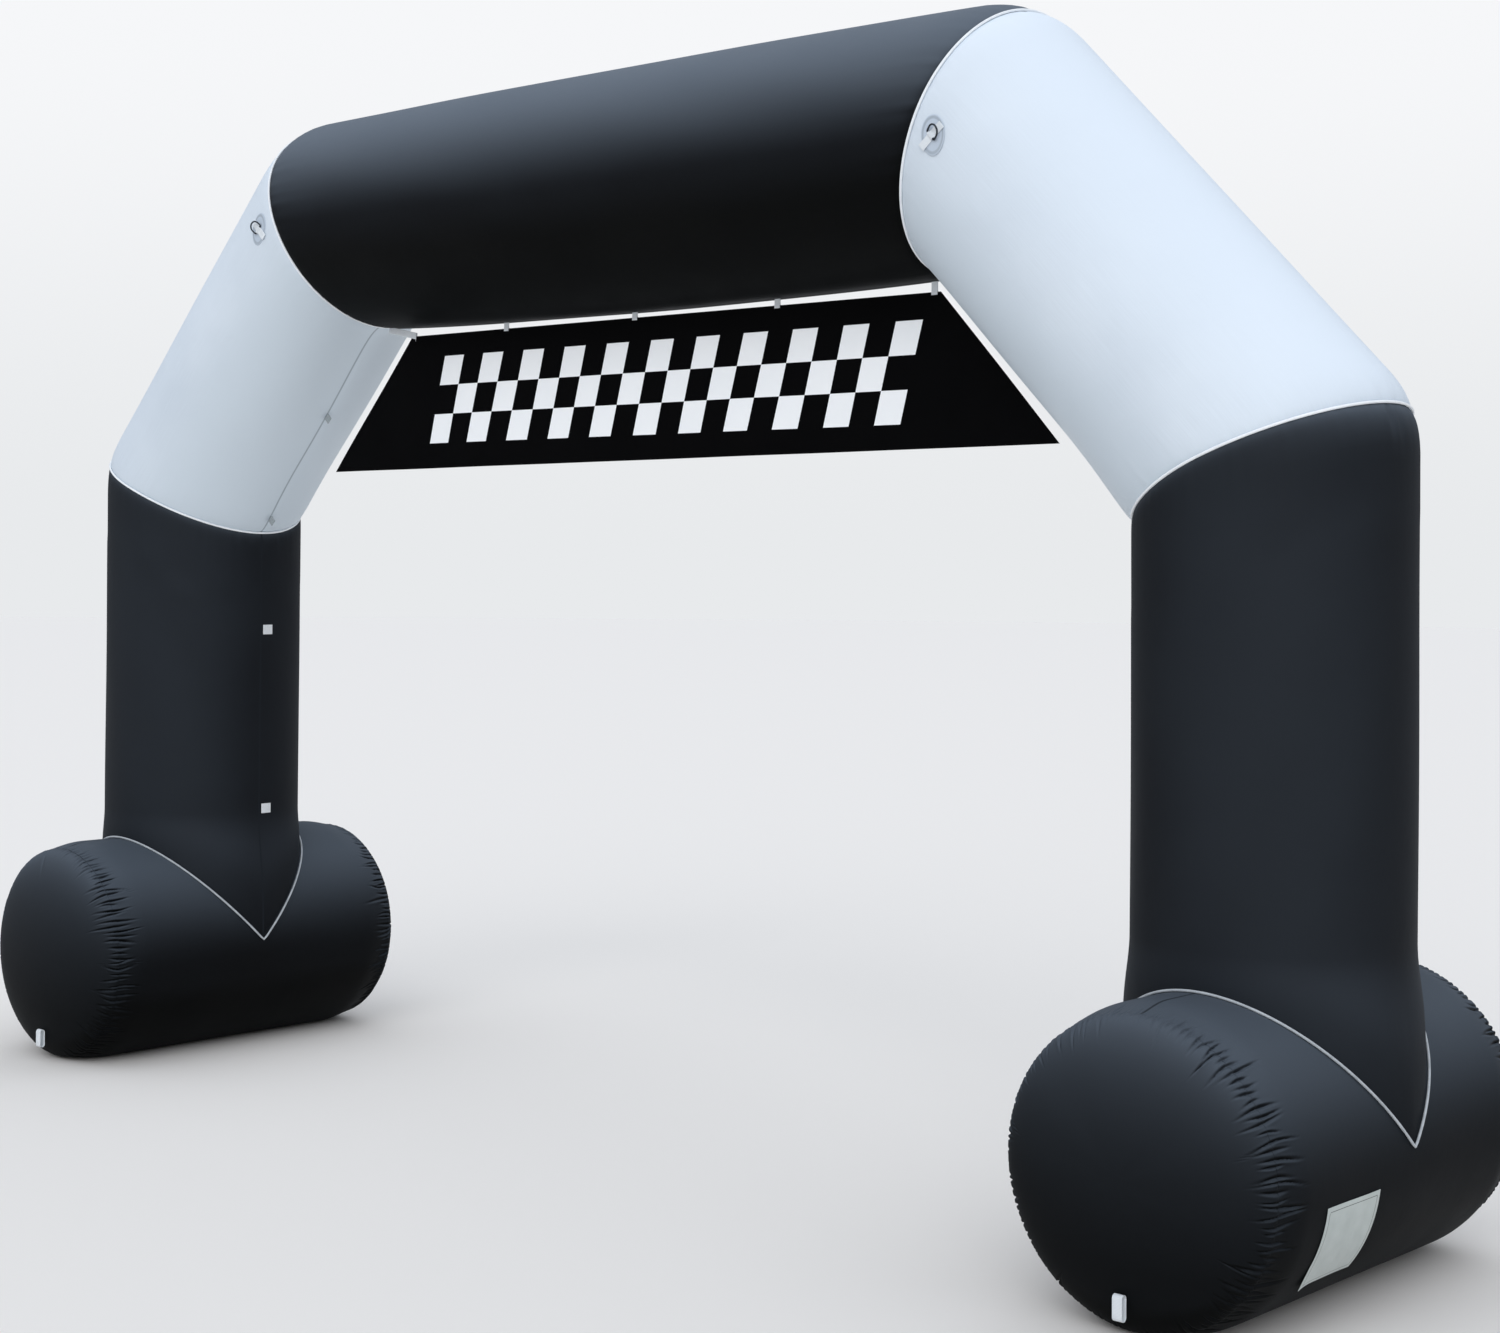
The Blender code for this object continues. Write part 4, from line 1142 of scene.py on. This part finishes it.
def make_ring(word, side, place_word, face):
    """A D-ring of bent wire, its straight bar under the strap and its bow tilted outwards."""
    middle, run, out = patch_frame(side, face)
    across = np.cross(out, run)
    half = RING_BAR / 2
    cut = RING_CUT * half
    outline = [(cut * (1 - sin(a)), half - cut * (1 - cos(a))) for a in np.linspace(pi / 2, 0, 5)]
    outline += [(RING_REACH - half + half * sin(a), half * cos(a)) for a in np.linspace(0, pi, 25)]
    outline += [(cut * (1 - sin(a)), -half + cut * (1 - cos(a))) for a in np.linspace(0, pi / 2, 5)]
    stand = middle + out * (STRAP_FLOOR + RING_WIRE_R + GAP)
    tilted = run * cos(RING_TILT) + out * sin(RING_TILT)
    points = [stand + tilted * u + across * v for u, v in outline]
    ring = round_cord(f"ring_{word}_{place_word}", points, RING_WIRE_R)
    return sew(ring, WIRE, f"guy_ring_{word}_{place_word}", 60)


def make_loop(word, side, place_word):
    """The anchor loop under an end cap: a tape bent to a long ring, in its node's place."""
    low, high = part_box(f"anchor_loop_{word}_{place_word}")
    centre_y = (low[1] + high[1]) / 2
    reach = LOOP_DEPTH / 2 - LOOP_THICK / 2
    top, foot = high[2] - LOOP_DEPTH / 2, low[2] + LOOP_DEPTH / 2
    x = side * HALF_SPAN
    bow = np.linspace(0, pi, 13)
    path = [(x, centre_y + reach * cos(a), top + reach * sin(a)) for a in bow]
    path += [(x, centre_y - reach, z) for z in np.linspace(top, foot, 7)[1:-1]]
    path += [(x, centre_y - reach * cos(a), foot - reach * sin(a)) for a in bow]
    path += [(x, centre_y + reach, z) for z in np.linspace(foot, top, 7)[1:]]
    loop = ribbon(f"loop_{word}_{place_word}", path, (1, 0, 0), LOOP_WIDTH, LOOP_THICK * 0.8, 6)
    return sew(loop, WEBBING_WHITE, f"anchor_loop_{word}_{place_word}", 40)


def make_square(word, side, number, height):
    """A hook-and-loop square on a leg's inner side."""

    def place(u, v):
        turn = pi - SQUARE_TURN + (u - 0.5) * SQUARE_WIDTH / LEG_R
        z = height + (v - 0.5) * SQUARE_HEIGHT
        share = np.clip((FLARE_TOP - z) / (FLARE_TOP - saddle_point(side, turn)[..., 2]), 0.0, 1.0)
        skin = flare_point(side, turn, share)
        skin[..., 2] = z
        skin[..., 0] -= side * (PATCH_LIFT + SQUARE_THICK / 2)
        return skin

    square = cut_cloth(f"square_{word}_{number}", 10, 8, place, (SQUARE_WIDTH, SQUARE_HEIGHT))
    thicken(square, SQUARE_THICK, 0.0004)
    sew(square, LOOP_TAPE, f"fastener_square_{word}_{number}", 45)


def make_label():
    """The blank cloth patch low on the right foot, one corner a little loose."""
    top, bottom = radians(LABEL_TOP), radians(LABEL_BOTTOM)
    tall = FOOT_R * (top - bottom)

    def place(u, v):
        angle = bottom + v * (top - bottom)
        curl = np.clip(1 - np.hypot(u * LABEL_LENGTH, v * tall) / 0.07, 0.0, 1.0) ** 2 * LABEL_CURL
        wave = 0.0007 * np.sin(3 * pi * v + 1.0) * np.sin(2 * pi * u)
        radius = FOOT_R + LABEL_LIFT + LABEL_THICK / 2 + curl + wave
        x, y = HALF_SPAN + radius * np.cos(angle), LABEL_Y + (u - 0.5) * LABEL_LENGTH
        return np.stack((x, y, FOOT_Z + radius * np.sin(angle)), axis=-1)

    def marks(u, v):
        return {"edge": np.minimum(np.minimum(u, 1 - u) * LABEL_LENGTH, np.minimum(v, 1 - v) * tall)}

    label = cut_cloth("label_blank", 30, 28, place, (LABEL_LENGTH, tall), marks)
    thicken(label, LABEL_THICK * 0.6, 0.0003)
    sew(label, LABEL_SATIN, "blank_label", 45)


# ---------------------------------------------------------------- the arch

beam = beam_tube()
make_tube("beam_tube", beam, BLACK_OXFORD, 11, ([-0.3, 0.0, 0.25], [-0.25, 0.05, 0.3]))
for number, x in enumerate(TIE_PLACES):
    make_tie(number + 1, x, TIE_TOPS[number])
make_banner()
for word, side in (("left", -1), ("right", 1)):
    shoulder = shoulder_tube(side)
    corner_folds = ([-0.25, 0.02, 0.28], [-0.3, 0.0, 0.25])
    make_tube(f"shoulder_tube_{word}", shoulder, WHITE_OXFORD, 20 + side, corner_folds)
    make_elbow_bead(word, "lower", shoulder)
    make_elbow_bead(word, "upper", shoulder)
    make_leg(word, side)
    make_foot(word, side)
    make_saddle_bead(word, side)
    for number, height in enumerate(TAB_HEIGHTS):
        make_seam_tab(word, side, number + 1, height)
    for number, height in enumerate(SQUARE_HEIGHTS):
        make_square(word, side, number + 1, height)
    for place_word, end in (("front", -1), ("back", 1)):
        make_cap(word, side, place_word, end)
        make_loop(word, side, place_word)
        make_patch(word, side, place_word, end)
        make_strap(word, side, place_word, end)
        make_ring(word, side, place_word, end)
make_label()


# ---------------------------------------------------------------- studio

# Floor
bare()
bpy.ops.mesh.primitive_circle_add(vertices=96, radius=60.0, fill_type="NGON", location=(0, 0, 0))
floor = bpy.context.object
floor.name = "studio_floor"
floor.data.materials.append(begin("studio_floor_paint", Base_Color="#eee9e4", Roughness=0.9)[0])

# Camera
EYE = (5.0298, -5.0161, 1.6485)
YAW, PITCH, ROLL = radians(42.3709), radians(0.7805), radians(0.4249)
LENS, SENSOR, SHIFT = 59.19, 36.0, -0.0939
ahead = Vector((-sin(YAW) * cos(PITCH), cos(YAW) * cos(PITCH), sin(PITCH)))
level = Vector((cos(YAW), sin(YAW), 0.0))
above = level.cross(ahead)
right = level * cos(ROLL) + above * sin(ROLL)
up = above * cos(ROLL) - level * sin(ROLL)
turn = Matrix((right, up, -ahead)).transposed().to_4x4()
bare()
bpy.ops.object.camera_add()
camera = bpy.context.object
camera.matrix_world = Matrix.Translation(EYE) @ turn
camera.data.sensor_width = SENSOR
camera.data.lens = LENS
camera.data.shift_y = SHIFT
bpy.context.scene.camera = camera

# Light: an overcast sky, brightest overhead, a pale backdrop for the camera, and a soft front light
world = bpy.data.worlds.new("studio")
bpy.context.scene.world = world
world.use_nodes = True
air = world.node_tree
height = add(air, "SeparateXYZ", links={0: add(air, "TexCoord")["Generated"]})["Z"]
bright = add(air, "MapRange", {1: 0.05, 2: 0.65, 3: 0.16, 4: 1.15}, {0: height}, **SMOOTH)[0]
room = add(air, "Background", {"Color": "#eaf1fa"}, {"Strength": bright})[0]
above_floor = add(air, "MapRange", {1: 0.0, 2: 0.22, 3: 0.0, 4: 1.0}, {0: height}, **SMOOTH)[0]
pale = add(air, "Mix", {FIRST: "#e8eaec", SECOND: "#f6f7f9"}, {FACTOR: above_floor}, **COLOURS)[BLEND]
backdrop = add(air, "Background", links={"Color": pale})[0]
seen = add(air, "LightPath")["Is Camera Ray"]
choice = add(air, "MixShader", links={0: seen, 1: room, 2: backdrop})[0]
air.links.new(choice, air.nodes["World Output"].inputs["Surface"])


def sky(name, azimuth, elevation, spread, power):
    """A wide soft light from far away, out of one part of the sky."""
    bare()
    bpy.ops.object.light_add(type="SUN", location=(0, 0, 6))
    lamp = bpy.context.object
    lamp.name = name
    lamp.data.angle = radians(spread)
    lamp.data.energy = power
    away = Vector((
        cos(radians(azimuth)) * cos(radians(elevation)),
        sin(radians(azimuth)) * cos(radians(elevation)),
        sin(radians(elevation)),
    ))
    lamp.rotation_euler = away.to_track_quat("Z", "Y").to_euler()


sky("front", -60.0, 24.0, 50.0, 0.95)

scene = bpy.context.scene
scene.view_settings.view_transform = "Standard"
